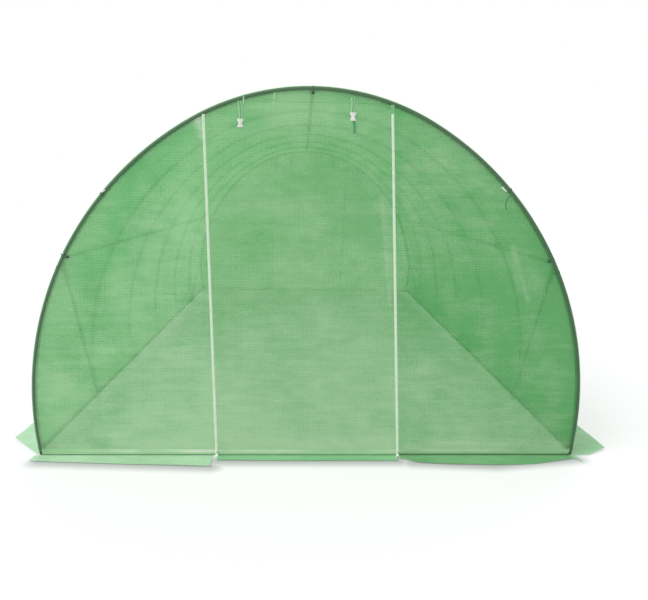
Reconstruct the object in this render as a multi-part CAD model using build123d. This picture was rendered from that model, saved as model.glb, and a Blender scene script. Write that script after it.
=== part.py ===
"""Walk-in polytunnel greenhouse: a steel hoop frame under a sewn film cover.

The tunnel runs along Y and stands on the ground at Z = 0, with its middle at the
origin. X runs across it. The front end faces -Y, and the back end is the front end
turned half round about Z. Every hoop follows one arch: a crown arc between two
longer side arcs that lean in again below the widest line. All sizes are in
millimetres.
"""

import os
from math import acos, copysign, cos, degrees, hypot, pi, radians, sin, tan

from build123d import *

# --- Overall sizes, over the cover ----------------------------------------------
WIDTH = 3000.0  # across the widest line
HEIGHT = 2000.0  # from the ground to the crown
LENGTH = 6000.0  # over the two end walls
WIDEST_HEIGHT = 340.0  # height of the widest line above the ground
CROWN_HALF_ANGLE = 30.0  # how far the crown arc reaches to each side, in degrees

# --- Steel frame -------------------------------------------------------------------
BAYS = 6  # spaces between hoops
TUBE_SIDES = 6  # flats that stand for a round outline, two of them facing a tube's bolts
HOOP_TUBE = 25.0  # outside diameter of the hoop tube
RAIL_TUBE = 19.0  # outside diameter of purlins, base rails, sills and braces
TAB_WIDTH = 28.0  # width of a tube's flattened end
TAB_THICKNESS = 3.0
TAB_REACH = 9.5  # flat length past the hoop's side, towards the tube
TAB_TAIL = 9.5  # flat length past the bolt
TAB_CLIP = 6.5  # how much the corners of a flattened end are cut off
FLARE = 36.0  # length over which a tube goes from flat to round
PURLIN_HEIGHT = 1085.0  # height of the side purlins' bolts
TAB_SPACING = 1.5  # clear space between flattened ends that lie one above another

# --- Cover, sewn from film ----------------------------------------------------------
FILM = 3.0  # thickness of every film panel
HEM = 2.0  # extra thickness of the doubled hem over a door
HEM_DEPTH = 35.0  # how far the hem reaches in from the rim
HEM_DROP = 92.0  # from the crown down to the level lower edge of the hem over the door
SEAT = 0.3  # clear space between pieces that rest on each other

# --- Door zips: x at the ground and at the crown's level, for the front end ----------
ZIP_LEFT_FOOT = -503.0
ZIP_LEFT_TOP = -577.0
ZIP_RIGHT_FOOT = 489.0
ZIP_RIGHT_TOP = 416.0
ZIP_WIDTH = 17.0
ZIP_PROUD = 1.5  # how far a zip stands out in front of the film
PULL_HEIGHT = 24.0  # height of a slider's lower end above the ground
PULL_WIDTH = 11.0
PULL_LENGTH = 16.0
PULL_DEPTH = 7.0
TAG_WIDTH = 6.0
TAG_LENGTH = 22.0
TAG_DEPTH = 2.0

# --- Skirts that lie on the ground ----------------------------------------------------
SIDE_SKIRT = 230.0  # how far a side skirt reaches out from the cover
SKIRT_SLANT = 0.65  # slope of a side skirt's shallow corner, from CORNER_REACH outwards
CORNER_REACH = 100.0
LEFT_SKIRT = ((0.0, 85.0), (0.55, 125.0), (1.0, 150.0))  # share of the width, depth there
DOOR_SKIRT = ((0.0, 74.0), (0.5, 82.0), (1.0, 76.0))
RIGHT_SKIRT = ((0.0, 50.0), (0.1, 105.0), (0.5, 136.0), (0.75, 112.0), (0.98, 42.0), (1.0, 110.0))
SKIRT_OVERHANG = 20.0  # how far an end skirt reaches past the corner of the cover
SKIRT_GAP = 12.0  # slit between the door's skirt and the skirts beside it

# --- Straps that hold the rolled door up ------------------------------------------------
STRAP_WIDTH = 16.0
STRAP_THICKNESS = 1.5
LEFT_STRAP_X = -378.0
LEFT_STRAP_DROP = 86.0  # from the crown down to the strap's upper end
LEFT_BUCKLE_DROP = 180.0  # from the crown down to the buckle
RIGHT_STRAP_X = 212.0
RIGHT_STRAP_DROP = 60.0
RIGHT_BUCKLE_DROP = 138.0
RIGHT_TAIL = 65.0  # webbing that hangs below the right buckle
TAIL_SHIFT = 6.0  # how far the tail hangs to the right of its strap
BUCKLE_WIDTH = 31.0
BUCKLE_WAIST = 18.0
BUCKLE_HEIGHT = 44.0
BUCKLE_DEPTH = 8.0
BUCKLE_BAR = 4.0  # width of a buckle's bars
BUCKLE_SLOT = 5.0  # height of the slots that the webbing passes through

# --- Cord tied round the front hoop at the right shoulder ---------------------------------
TIE_CORD = 5.0  # diameter
TIE_HEIGHT = 0.72 * HEIGHT  # where the loose end leaves the hoop
TIE_RUNS = ((24.0, -18.0), (23.0, -10.0), (21.0, 24.0))  # length, degrees off plumb
TIE_START = 22.0  # first run, square to the hoop

# --- Worked out from the sizes above -----------------------------------------------------
HOOP_R = HOOP_TUBE / 2
HOOP_CORNER = HOOP_R / cos(pi / TUBE_SIDES)
RAIL_R = RAIL_TUBE / 2
COVER_IN = HOOP_R + SEAT  # from the hoop's centre line to the cover's inner face
COVER_OUT = COVER_IN + FILM
END_Y = LENGTH / 2  # outer face of an end wall
COVER_END = END_Y - FILM - SEAT  # where the cover meets an end wall
HOOP_SPAN = 2 * (COVER_END - HOOP_CORNER)  # first hoop to last hoop
PITCH = HOOP_SPAN / BAYS
TAB_RUN = HOOP_R + TAB_REACH  # flat length from the bolt towards the tube
TAB_LAP = TAB_THICKNESS + SEAT  # from one flattened end to the one lapped over it
TAB_STEP = TAB_WIDTH + TAB_SPACING
BRACE_STEP = TAB_WIDTH / 2 + hypot(TAB_WIDTH / 2, TAB_TAIL) + TAB_SPACING
SILL_HEIGHT = TAB_WIDTH / 2 + SEAT
BASE_RAIL_HEIGHT = SILL_HEIGHT + TAB_STEP
FILM_FOOT = FILM + SEAT  # the walls stand on the skirts
HEM_HEIGHT = HEIGHT - HEM_DROP
LEFT_BUCKLE_TOP = HEIGHT - LEFT_BUCKLE_DROP
RIGHT_BUCKLE_TOP = HEIGHT - RIGHT_BUCKLE_DROP


# --- The arch --------------------------------------------------------------------------
def arch_radii():
    """Radii of the hoop's centre line: crown arc, side arc."""
    half = WIDTH / 2 - COVER_OUT
    rise = HEIGHT - COVER_OUT - WIDEST_HEIGHT
    s = sin(radians(CROWN_HALF_ANGLE))
    c = cos(radians(CROWN_HALF_ANGLE))
    shared = 1 - s - c
    crown = ((1 - s) * rise - c * half) / shared
    side = ((1 - c) * half - s * rise) / shared
    return crown, side


CROWN_R, SIDE_R = arch_radii()
CROWN_CENTRE = HEIGHT - COVER_OUT - CROWN_R  # height of the crown arc's centre
SIDE_CENTRE = WIDTH / 2 - COVER_OUT - SIDE_R  # x of the right side arc's centre


def arch_point(angle, offset=0.0):
    """Point (x, z) of the arch, at an angle from upright, positive to the right."""
    s = sin(radians(angle))
    c = cos(radians(angle))
    if abs(angle) <= CROWN_HALF_ANGLE:
        return (CROWN_R + offset) * s, CROWN_CENTRE + (CROWN_R + offset) * c
    centre = SIDE_CENTRE if angle > 0 else -SIDE_CENTRE
    return centre + (SIDE_R + offset) * s, WIDEST_HEIGHT + (SIDE_R + offset) * c


def side_angle(height, offset=0.0):
    """Angle at which the right side of the arch passes a height."""
    return degrees(acos((height - WIDEST_HEIGHT) / (SIDE_R + offset)))


def foot_x(height, offset):
    """How far out the arch stands at a height near the ground."""
    return arch_point(side_angle(height, offset), offset)[0]


def arch_edges(offset, foot):
    """Three tangent arcs in the XZ plane, from the left foot to the right foot."""
    low = side_angle(foot, offset)
    stops = (-low, -CROWN_HALF_ANGLE, CROWN_HALF_ANGLE, low)
    edges = []
    for start, end in zip(stops, stops[1:]):
        places = [arch_point(a, offset) for a in (start, (start + end) / 2, end)]
        edges.append(ThreePointArc(*[(x, 0, z) for x, z in places]))
    return edges


def arch_face(offset, foot):
    """The area under the arch down to a height, as a face in the XZ plane."""
    edges = arch_edges(offset, foot)
    ground = Line(edges[-1] @ 1, edges[0] @ 0)
    return Face(Wire([*edges, ground]))


def outline(points):
    """Face in the XZ plane from its corners (x, z)."""
    return Face(Wire.make_polygon([(x, 0, z) for x, z in points]))


def block(low, high):
    """Box between two corners."""
    size = [b - a for a, b in zip(low, high)]
    corner = Align.MIN
    return Pos(*low) * Box(*size, align=(corner, corner, corner))


def along_y(face, start, end):
    """Face in the XZ plane pushed out along Y, from one place to another."""
    return Pos(0, start, 0) * extrude(face, amount=end - start, dir=(0, 1, 0))


# --- Steel frame --------------------------------------------------------------------------
def hoop_y(number):
    """Place of a hoop along the tunnel, counted from 0 at the front."""
    return number * PITCH - HOOP_SPAN / 2


def tube_corners(radius, width=0.0):
    """Corners (x, y) of a tube's outline, spread sideways where it is pressed flat."""
    corner = radius / cos(pi / TUBE_SIDES)
    spread = max(width / 2 - corner, 0)
    corners = []
    for number in range(TUBE_SIDES):
        angle = 2 * pi * number / TUBE_SIDES
        x = corner * cos(angle)
        corners.append((x + copysign(spread, x), corner * sin(angle)))
    return corners


def make_hoop(number):
    """One bent tube from the ground, over the crown and down again."""
    path = Wire(arch_edges(0.0, -HOOP_TUBE))
    across = Plane(origin=path @ 0, x_dir=(0, 1, 0), z_dir=path % 0)
    tube = sweep(across * Polygon(*tube_corners(HOOP_R), align=None), path=path)
    reach = WIDTH / 2
    below = block((-reach, -HOOP_TUBE, -3 * HOOP_TUBE), (reach, HOOP_TUBE, 0))
    return Pos(0, hoop_y(number), 0) * (tube - below)


def flattened_end():
    """Flat of a pressed tube round its bolt, with the outer corners cut off."""
    pressed = Polygon(*tube_corners(TAB_THICKNESS / 2, TAB_WIDTH), align=None)
    tab = Pos(0, 0, -TAB_TAIL) * extrude(pressed, TAB_TAIL + TAB_RUN)
    half = TAB_WIDTH / 2
    for side in (-half, half):
        inner = side - copysign(TAB_CLIP, side)
        corner = outline([(inner, -TAB_TAIL), (side, -TAB_TAIL), (side, TAB_CLIP - TAB_TAIL)])
        tab -= extrude(corner, TAB_THICKNESS, dir=(0, 1, 0), both=True)
    return tab


def between_outlines(start, end):
    """Solid with flat sides between two outlines whose corners match in order."""
    onward = zip(start, start[1:] + start[:1], end[1:] + end[:1], end)
    faces = [Face(Wire.make_polygon(corners)) for corners in (start, end, *onward)]
    return Solid(Shell(faces))


def flat_ended_tube(start, end):
    """Tube with both ends pressed flat.

    Each plane lies at a bolt, in the middle of the flat: x runs across the flat, z
    along it towards the other bolt, and y to the side on which the tube's axis lies.
    """
    near, far = [
        p.origin + p.z_dir * (TAB_RUN + FLARE) + p.y_dir * TAB_LAP / 2
        for p in (start, end)
    ]
    run = far - near

    def placed(corners, centre, across):
        plane = Plane(origin=centre, x_dir=across, z_dir=run)
        return [plane.from_local_coords((x, y, 0)) for x, y in corners]

    whole = tube_corners(RAIL_R)
    pressed = tube_corners(TAB_THICKNESS / 2, TAB_WIDTH)
    straight = [placed(whole, centre, start.x_dir) for centre in (near, far)]
    pieces = [between_outlines(*straight)]
    for plane, centre in ((start, near), (end, far)):
        toe = plane.origin + plane.z_dir * TAB_RUN
        flat = placed(pressed, toe, plane.x_dir)
        pieces.append(between_outlines(flat, placed(whole, centre, plane.x_dir)))
        pieces.append(plane * flattened_end())
    return Part() + pieces


def hoop_seat(angle, number, layer, onward):
    """Plane of a flattened end on the inside of a hoop.

    Layer 0 lies against the hoop, layer 1 is lapped over it. The end runs in the
    direction onward, which lies in the hoop's tangent plane.
    """
    depth = HOOP_R + SEAT + TAB_THICKNESS / 2 + layer * TAB_LAP
    x, z = arch_point(angle, -depth)
    inward = Vector(-sin(radians(angle)), 0, -cos(radians(angle)))
    to_axis = inward if layer == 0 else inward * -1
    along = (onward - inward * onward.dot(inward)).normalized()
    return Plane(origin=(x, hoop_y(number), z), x_dir=to_axis.cross(along), z_dir=along)


def make_purlin(angle):
    """A line of tubes along the tunnel, one to a bay, lapped where they meet."""
    forward = Vector(0, 1, 0)
    tubes = []
    for bay in range(BAYS):
        start = hoop_seat(angle, bay, 0, forward)
        last = 0 if bay == BAYS - 1 else 1
        end = hoop_seat(angle, bay + 1, last, forward * -1)
        tubes.append(flat_ended_tube(start, end))
    return Compound(children=tubes)


def make_brace(side):
    """Diagonal tube in the front bay, from the purlin's bolt to the second foot."""
    depth = HOOP_R + SEAT + TAB_THICKNESS / 2
    head = side * side_angle(PURLIN_HEIGHT - BRACE_STEP, -depth)
    foot = side * side_angle(BASE_RAIL_HEIGHT + BRACE_STEP, -depth)
    head_x, head_z = arch_point(head, -depth)
    foot_at_x, foot_z = arch_point(foot, -depth)
    run = Vector(foot_at_x - head_x, PITCH, foot_z - head_z)
    start = hoop_seat(head, 0, 0, run)
    end = hoop_seat(foot, 1, 0, run * -1)
    return flat_ended_tube(start, end)


def make_sill():
    """Tube across the front end, bolted behind the feet of the first hoop."""
    depth = HOOP_CORNER + SEAT + TAB_THICKNESS / 2
    x = foot_x(SILL_HEIGHT, 0.0)
    y = hoop_y(0) + depth
    left = Plane(origin=(-x, y, SILL_HEIGHT), x_dir=(0, 0, 1), z_dir=(1, 0, 0))
    right = Plane(origin=(x, y, SILL_HEIGHT), x_dir=(0, 0, -1), z_dir=(-1, 0, 0))
    return flat_ended_tube(left, right)


def make_frame():
    """Hoops and the tubes that run the length of the tunnel, by name."""
    depth = HOOP_R + SEAT + TAB_THICKNESS / 2
    purlin = side_angle(PURLIN_HEIGHT, -depth)
    rail = side_angle(BASE_RAIL_HEIGHT, -depth)
    parts = {f"hoop_{i + 1}": make_hoop(i) for i in range(BAYS + 1)}
    parts["ridge_purlin"] = make_purlin(0.0)
    parts["purlin_left"] = make_purlin(-purlin)
    parts["purlin_right"] = make_purlin(purlin)
    parts["base_rail_left"] = make_purlin(-rail)
    parts["base_rail_right"] = make_purlin(rail)
    return parts


# --- Cover and end walls ------------------------------------------------------------------
def make_cover():
    """One sheet over all the hoops, from skirt to skirt."""
    shell = arch_face(COVER_OUT, FILM_FOOT) - arch_face(COVER_IN, FILM_FOOT)
    return along_y(shell, -COVER_END, COVER_END)


def zip_x(foot, top, height):
    """Where a zip stands at a height."""
    return foot + (top - foot) * height / HEIGHT


def between(left, right):
    """Face between two leaning lines, each given by its x at the foot and at the top."""
    heights = (FILM_FOOT, HEIGHT)
    up = [(zip_x(*left, h), h) for h in heights]
    down = [(zip_x(*right, h), h) for h in reversed(heights)]
    return outline([*up, *down])


def beside(line, shift):
    """A leaning line moved sideways."""
    return line[0] + shift, line[1] + shift


LEFT_ZIP = (ZIP_LEFT_FOOT, ZIP_LEFT_TOP)
RIGHT_ZIP = (ZIP_RIGHT_FOOT, ZIP_RIGHT_TOP)
ZIP_EDGE = ZIP_WIDTH / 2  # from a zip's middle to its edge
FILM_EDGE = ZIP_EDGE + SEAT  # from a zip's middle to the film beside it
FAR_LEFT = (-WIDTH, -WIDTH)
FAR_RIGHT = (WIDTH, WIDTH)


def make_end_wall():
    """Film pieces and zips that close the front end, by name."""
    whole = arch_face(COVER_OUT, FILM_FOOT)
    left = whole & between(FAR_LEFT, beside(LEFT_ZIP, -FILM_EDGE))
    right = whole & between(beside(RIGHT_ZIP, FILM_EDGE), FAR_RIGHT)
    door = whole & between(beside(LEFT_ZIP, FILM_EDGE), beside(RIGHT_ZIP, -FILM_EDGE))
    parts = {
        "wall_front_left": along_y(left, -END_Y, -END_Y + FILM),
        "wall_front_right": along_y(right, -END_Y, -END_Y + FILM),
        "door_front": along_y(door, -END_Y, -END_Y + FILM),
        "hem_front": along_y(hem_face(door), -END_Y - SEAT - HEM, -END_Y - SEAT),
    }
    for name, line in (("left", LEFT_ZIP), ("right", RIGHT_ZIP)):
        strip = whole & between(beside(line, -ZIP_EDGE), beside(line, ZIP_EDGE))
        parts[f"zip_front_{name}"] = along_y(strip, -END_Y - ZIP_PROUD, -END_Y + FILM)
    parts["zip_pulls_front"] = make_zip_pulls()
    return parts


def hem_face(door):
    """Doubled film over the door: a band along the rim with a level lower edge."""
    inner = arch_face(COVER_OUT - HEM_DEPTH, FILM_FOOT)
    reach = WIDTH / 2
    level = [(-reach, 0), (reach, 0), (reach, HEM_HEIGHT), (-reach, HEM_HEIGHT)]
    return door - (inner & outline(level))


def make_zip_pulls():
    """The two sliders, run down to the ground, each with its tag."""
    face = -END_Y - ZIP_PROUD - SEAT
    pulls = []
    for line in (LEFT_ZIP, RIGHT_ZIP):
        x = zip_x(*line, PULL_HEIGHT)
        low = (x - PULL_WIDTH / 2, face - PULL_DEPTH, PULL_HEIGHT)
        high = (x + PULL_WIDTH / 2, face, PULL_HEIGHT + PULL_LENGTH)
        body = chamfer(block(low, high).edges().filter_by(Axis.Y), PULL_WIDTH / 5)
        tag_top = PULL_HEIGHT + PULL_LENGTH / 2
        tag_face = face - PULL_DEPTH
        tag_low = (x - TAG_WIDTH / 2, tag_face - TAG_DEPTH, tag_top - TAG_LENGTH)
        tag_high = (x + TAG_WIDTH / 2, tag_face, tag_top)
        pulls.append(body + block(tag_low, tag_high))
    return Compound(children=pulls)


# --- Skirts ----------------------------------------------------------------------------------
def make_side_skirt():
    """Film laid out along the left side: one corner mitred, the other cut at a shallow slant."""
    inner = foot_x(FILM_FOOT, COVER_IN)
    foot = foot_x(FILM_FOOT, COVER_OUT)
    outer = foot + SIDE_SKIRT
    slant = COVER_END - SKIRT_SLANT * (SIDE_SKIRT - CORNER_REACH)
    corners = [(inner, -COVER_END), (outer, SIDE_SKIRT - COVER_END), (outer, slant)]
    corners += [(foot + CORNER_REACH, COVER_END), (inner, COVER_END)]
    face = Face(Wire.make_polygon([(-x, y, 0) for x, y in corners]))
    return extrude(face, amount=FILM, dir=(0, 0, 1))


def make_end_skirts():
    """The three pieces of film laid out in front of the front end, by name."""
    reach = foot_x(FILM_FOOT, COVER_OUT) + SKIRT_OVERHANG
    left = ZIP_LEFT_FOOT - SKIRT_GAP / 2
    right = ZIP_RIGHT_FOOT + SKIRT_GAP / 2
    spans = {
        "left": (-reach, left, LEFT_SKIRT),
        "door": (left + SKIRT_GAP, right - SKIRT_GAP, DOOR_SKIRT),
        "right": (right, reach, RIGHT_SKIRT),
    }
    parts = {}
    for name, (start, end, edge) in spans.items():
        corners = [(end, -END_Y + FILM, 0), (start, -END_Y + FILM, 0)]
        corners += [(start + share * (end - start), -END_Y - depth, 0) for share, depth in edge]
        face = Face(Wire.make_polygon(corners))
        parts[f"skirt_front_{name}"] = extrude(face, amount=FILM, dir=(0, 0, 1))
    return parts


# --- Door straps --------------------------------------------------------------------------------
def make_straps():
    """Webbing sewn over the hem, down to each buckle, and the right one's tail."""
    face = -END_Y - HEM - 2 * SEAT
    half = STRAP_WIDTH / 2
    tail_top = RIGHT_BUCKLE_TOP - BUCKLE_HEIGHT - SEAT
    spans = (
        (LEFT_STRAP_X, LEFT_BUCKLE_TOP + SEAT, HEIGHT - LEFT_STRAP_DROP),
        (RIGHT_STRAP_X, RIGHT_BUCKLE_TOP + SEAT, HEIGHT - RIGHT_STRAP_DROP),
        (RIGHT_STRAP_X + TAIL_SHIFT, tail_top - RIGHT_TAIL, tail_top),
    )
    strips = []
    for x, low, high in spans:
        near = (x - half, face - STRAP_THICKNESS, low)
        strips.append(block(near, (x + half, face, high)))
    return Compound(children=strips)


def buckle_face():
    """A side-release buckle from the front: prongs above, a waist, then the body."""
    half = BUCKLE_WIDTH / 2
    waist = BUCKLE_WAIST / 2
    end = BUCKLE_HEIGHT / 2
    right = [(half, end), (half, end / 2), (waist, end / 6), (waist, -end / 4)]
    right += [(half, -3 * end / 4), (half, -end)]
    left = [(-x, y) for x, y in reversed(right)]
    face = Polygon(*right, *left, align=None)
    slot = Rectangle(BUCKLE_WIDTH - 4 * BUCKLE_BAR, BUCKLE_SLOT)
    for side in (-1, 1):
        face -= Pos(0, side * (end - BUCKLE_BAR - BUCKLE_SLOT / 2)) * slot
    return face


def make_buckles():
    """The two buckles, each at the end of its strap."""
    buckles = []
    for x, top in (
        (LEFT_STRAP_X, LEFT_BUCKLE_TOP),
        (RIGHT_STRAP_X, RIGHT_BUCKLE_TOP),
    ):
        centre = (x, -END_Y - SEAT, top - BUCKLE_HEIGHT / 2)
        upright = Plane(origin=centre, x_dir=(1, 0, 0), z_dir=(0, -1, 0))
        buckles.append(extrude(upright * buckle_face(), BUCKLE_DEPTH, dir=(0, -1, 0)))
    return Compound(children=buckles)


# --- Tie cord --------------------------------------------------------------------------------------
def make_tie_cord():
    """Loose end of the cord tied round the front hoop, hanging in front of the end wall."""
    angle = side_angle(TIE_HEIGHT, -HOOP_R - SEAT)
    place = [arch_point(angle, -HOOP_R - SEAT)]
    runs = [(TIE_START, -angle), *TIE_RUNS]
    for length, lean in runs:
        x, z = place[-1]
        place.append((x + length * sin(radians(lean)), z - length * cos(radians(lean))))
    radii = []
    for (before, lean), (after, turned) in zip(runs, runs[1:]):
        half_turn = radians(abs(turned - lean)) / 2
        radii.append(0.45 * min(before, after) / tan(half_turn))
    print("tie cord radii", [round(r, 1) for r in radii])
    face = -END_Y - SEAT - TIE_CORD / 2 / cos(radians(180 / TUBE_SIDES))
    path = FilletPolyline(*[(x, face, z) for x, z in place], radius=radii)
    start = Plane(origin=path @ 0, x_dir=(0, 1, 0), z_dir=path % 0)
    return sweep(start * Polygon(*tube_corners(TIE_CORD / 2), align=None), path=path)


# --- Assembly --------------------------------------------------------------------------------------
def make_parts():
    """Every piece of the tunnel by name."""
    front = make_end_wall()
    front.update(make_end_skirts())
    front["sill_front"] = make_sill()
    front["brace_front_left"] = make_brace(-1)
    front["brace_front_right"] = make_brace(1)
    front["door_straps_front"] = make_straps()
    front["door_buckles_front"] = make_buckles()
    parts = make_frame()
    parts["cover"] = make_cover()
    parts["skirt_left"] = make_side_skirt()
    parts["skirt_right"] = Rot(0, 0, 180) * make_side_skirt()
    for name, part in front.items():
        parts[name] = part
        parts[name.replace("front", "back")] = Rot(0, 0, 180) * part
    parts["tie_cord"] = make_tie_cord()
    return parts


if __name__ == "__main__":
    os.makedirs("parts", exist_ok=True)
    for name, part in make_parts().items():
        export_step(part, f"parts/{name}.step")
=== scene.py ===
"""Polytunnel greenhouse: the looks of a steel hoop frame under a sewn film cover.

The tunnel runs along Y with its front end at -Y, and it stands on the ground at Z = 0.
All sizes are in metres. What closes an end is made at the front and turned to its own end.
"""

import logging
from dataclasses import dataclass, replace
from enum import Enum
from math import acos, atan2, ceil, cos, floor, hypot, pi, radians, sin
from typing import Callable, Iterable

import bmesh
import bpy
from mathutils import Matrix, Vector, noise


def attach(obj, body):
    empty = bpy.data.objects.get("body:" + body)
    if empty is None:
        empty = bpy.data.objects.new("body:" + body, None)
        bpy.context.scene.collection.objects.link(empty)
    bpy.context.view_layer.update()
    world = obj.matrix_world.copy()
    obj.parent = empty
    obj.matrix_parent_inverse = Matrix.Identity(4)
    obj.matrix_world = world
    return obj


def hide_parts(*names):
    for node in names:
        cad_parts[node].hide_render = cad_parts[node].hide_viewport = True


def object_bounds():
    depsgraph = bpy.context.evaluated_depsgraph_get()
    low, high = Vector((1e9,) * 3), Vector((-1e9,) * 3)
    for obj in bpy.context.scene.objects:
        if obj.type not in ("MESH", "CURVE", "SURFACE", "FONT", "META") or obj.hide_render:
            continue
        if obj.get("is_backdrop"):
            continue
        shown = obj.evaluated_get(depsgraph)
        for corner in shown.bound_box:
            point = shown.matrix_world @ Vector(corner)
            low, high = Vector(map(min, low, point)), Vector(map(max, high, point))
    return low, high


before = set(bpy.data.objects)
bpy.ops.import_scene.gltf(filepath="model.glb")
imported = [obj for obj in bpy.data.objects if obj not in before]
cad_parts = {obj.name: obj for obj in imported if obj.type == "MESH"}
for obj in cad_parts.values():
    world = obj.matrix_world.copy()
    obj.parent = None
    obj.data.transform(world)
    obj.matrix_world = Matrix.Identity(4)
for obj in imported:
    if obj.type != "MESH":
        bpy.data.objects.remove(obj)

CAD_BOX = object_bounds()
LOG = logging.getLogger("polytunnel")
Piece = bpy.types.Object
Pair = tuple[float, float]
Point = tuple[float, float, float]
Colour = tuple[float, float, float]
Rows = tuple[tuple, ...]


class End(Enum):
    """The two ends of the tunnel; the back is the front turned half round."""

    FRONT = "front"
    BACK = "back"

    @property
    def turn(self) -> Matrix:
        """Matrix that carries a piece of the front end to this end."""
        return Matrix.Rotation(0.0 if self is End.FRONT else pi, 4, "Z")


class Side(Enum):
    """Left or right, seen from outside the front."""

    LEFT = -1
    RIGHT = 1


# --- Shader nodes ---


class Wire:
    """A shader value that takes part in sums, which become Math nodes."""

    def __init__(self, shader: "Shader", socket: bpy.types.NodeSocket) -> None:
        """Wraps a node's output."""
        self.shader = shader
        self.socket = socket

    def math(self, operation: str, *others: "Wire | float") -> "Wire":
        """Adds a Math node with this value first.

        Args:
            operation: The node's operation.
            others: Its second and third values.

        Returns:
            The node's result.
        """
        values = dict(enumerate((self, *others)))
        return self.shader.add("ShaderNodeMath", {"operation": operation}, values)

    def __add__(self, other: "Wire | float") -> "Wire":
        """Sum."""
        return self.math("ADD", other)

    __radd__ = __add__

    def __mul__(self, other: "Wire | float") -> "Wire":
        """Product."""
        return self.math("MULTIPLY", other)

    __rmul__ = __mul__

    def __sub__(self, other: "Wire | float") -> "Wire":
        """Difference."""
        return self.math("SUBTRACT", other)

    def __rsub__(self, other: float) -> "Wire":
        """A number less this value."""
        return (self * -1.0) + other

    def __truediv__(self, other: float) -> "Wire":
        """Quotient."""
        return self.math("DIVIDE", other)

    def between(self, low: float, high: float) -> "Wire":
        """Turns this value into a smooth step.

        Args:
            low: Where the step starts from 0.
            high: Where it reaches 1.

        Returns:
            The step.
        """
        settings = {"interpolation_type": "SMOOTHSTEP"}
        values = {0: self, 1: low, 2: high, 3: 0.0, 4: 1.0}
        return self.shader.add("ShaderNodeMapRange", settings, values)


class Shader:
    """The node tree of a material or of the world."""

    def __init__(self, owner: bpy.types.Material | bpy.types.World) -> None:
        """Starts an empty tree.

        Args:
            owner: What the tree belongs to.
        """
        owner.use_nodes = True
        self.owner = owner
        self.tree = owner.node_tree
        self.tree.nodes.clear()

    def add(self, kind: str, settings: dict, values: dict, output: int | str = 0) -> Wire:
        """Adds a node.

        Args:
            kind: The node's type.
            settings: Its properties.
            values: Numbers, colours or wires for its sockets, by index or name.
            output: The socket that the result comes from.

        Returns:
            The node's output.
        """
        node = self.tree.nodes.new(kind)
        for key, value in settings.items():
            setattr(node, key, value)
        for key, value in values.items():
            socket = node.inputs[key]
            if isinstance(value, Wire):
                self.tree.links.new(value.socket, socket)
            elif isinstance(value, tuple) and socket.type == "RGBA":
                socket.default_value = (*value, 1.0)
            else:
                socket.default_value = value
        return Wire(self, node.outputs[output])

    def split(self, vector: Wire) -> tuple[Wire, ...]:
        """The parts of a vector."""
        first = self.add("ShaderNodeSeparateXYZ", {}, {0: vector})
        return tuple(Wire(self, socket) for socket in first.socket.node.outputs)

    def uv(self) -> tuple[Wire, ...]:
        """The two lengths of the piece's own film map, in metres."""
        return self.split(self.add("ShaderNodeUVMap", {"uv_map": "flat"}, {}))[:2]

    def place(self) -> Wire:
        """Object coordinates."""
        return self.add("ShaderNodeTexCoord", {}, {}, "Object")

    def stretched(self, across: Wire, along: Wire, detail: float) -> Wire:
        """Soft noise about 0.5 on lengths that are already scaled."""
        return self.noise(self.add("ShaderNodeCombineXYZ", {}, {0: across, 1: along}), 1.0, detail)

    def noise(self, vector: Wire, scale: float, detail: float) -> Wire:
        """Soft noise about 0.5."""
        values = {"Vector": vector, "Scale": scale, "Detail": detail, "Roughness": 0.55}
        return self.add("ShaderNodeTexNoise", {"noise_dimensions": "3D"}, values)

    def blend(self, factor: Wire, low: Wire | Colour, high: Wire | Colour) -> Wire:
        """Mixes two colours."""
        return self.add("ShaderNodeMix", {"data_type": "RGBA"}, {0: factor, 6: low, 7: high}, 2)

    def bump(self, height: Wire, distance: float, strength: float, **under: Wire) -> Wire:
        """A normal from a height, over another normal where one is given as Normal."""
        values = {"Height": height, "Distance": distance, "Strength": strength, **under}
        return self.add("ShaderNodeBump", {}, values)

    def mixed(self, factor: Wire, low: Wire, high: Wire) -> Wire:
        """Mixes two surfaces."""
        return self.add("ShaderNodeMixShader", {}, {0: factor, 1: low, 2: high})

    def backdrop(self) -> Wire:
        """Tells what shows from the light that falls on the tunnel.

        Returns:
            1 where it is seen straight, in a gloss or through glass, and otherwise 0.
        """
        seen = self.add("ShaderNodeLightPath", {}, {}, "Is Camera Ray")
        rays = seen.socket.node.outputs
        for kind in ("Is Glossy Ray", "Is Transmission Ray"):
            seen = seen.math("MAXIMUM", Wire(self, rays[kind]))
        return seen

    def finish(self, shown: Wire, end: str = "Material") -> bpy.types.Material:
        """Ends the tree with a surface.

        Args:
            shown: The surface.
            end: What kind of output takes it.

        Returns:
            The material or world, finished.
        """
        node = self.tree.nodes.new(f"ShaderNodeOutput{end}")
        self.tree.links.new(shown.socket, node.inputs["Surface"])
        return self.owner

    def solid(
        self, colour: Wire, rough: Wire | float, normal: Wire, metal: float = 0.0
    ) -> bpy.types.Material:
        """Ends the tree with one closed surface.

        Args:
            colour: Its colour.
            rough: Its roughness.
            normal: Its normal.
            metal: How much of a metal it is.

        Returns:
            The finished material.
        """
        values = {"Base Color": colour, "Roughness": rough, "Metallic": metal, "Normal": normal}
        return self.finish(self.add("ShaderNodeBsdfPrincipled", {}, values))


# --- Finishes ---


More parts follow.
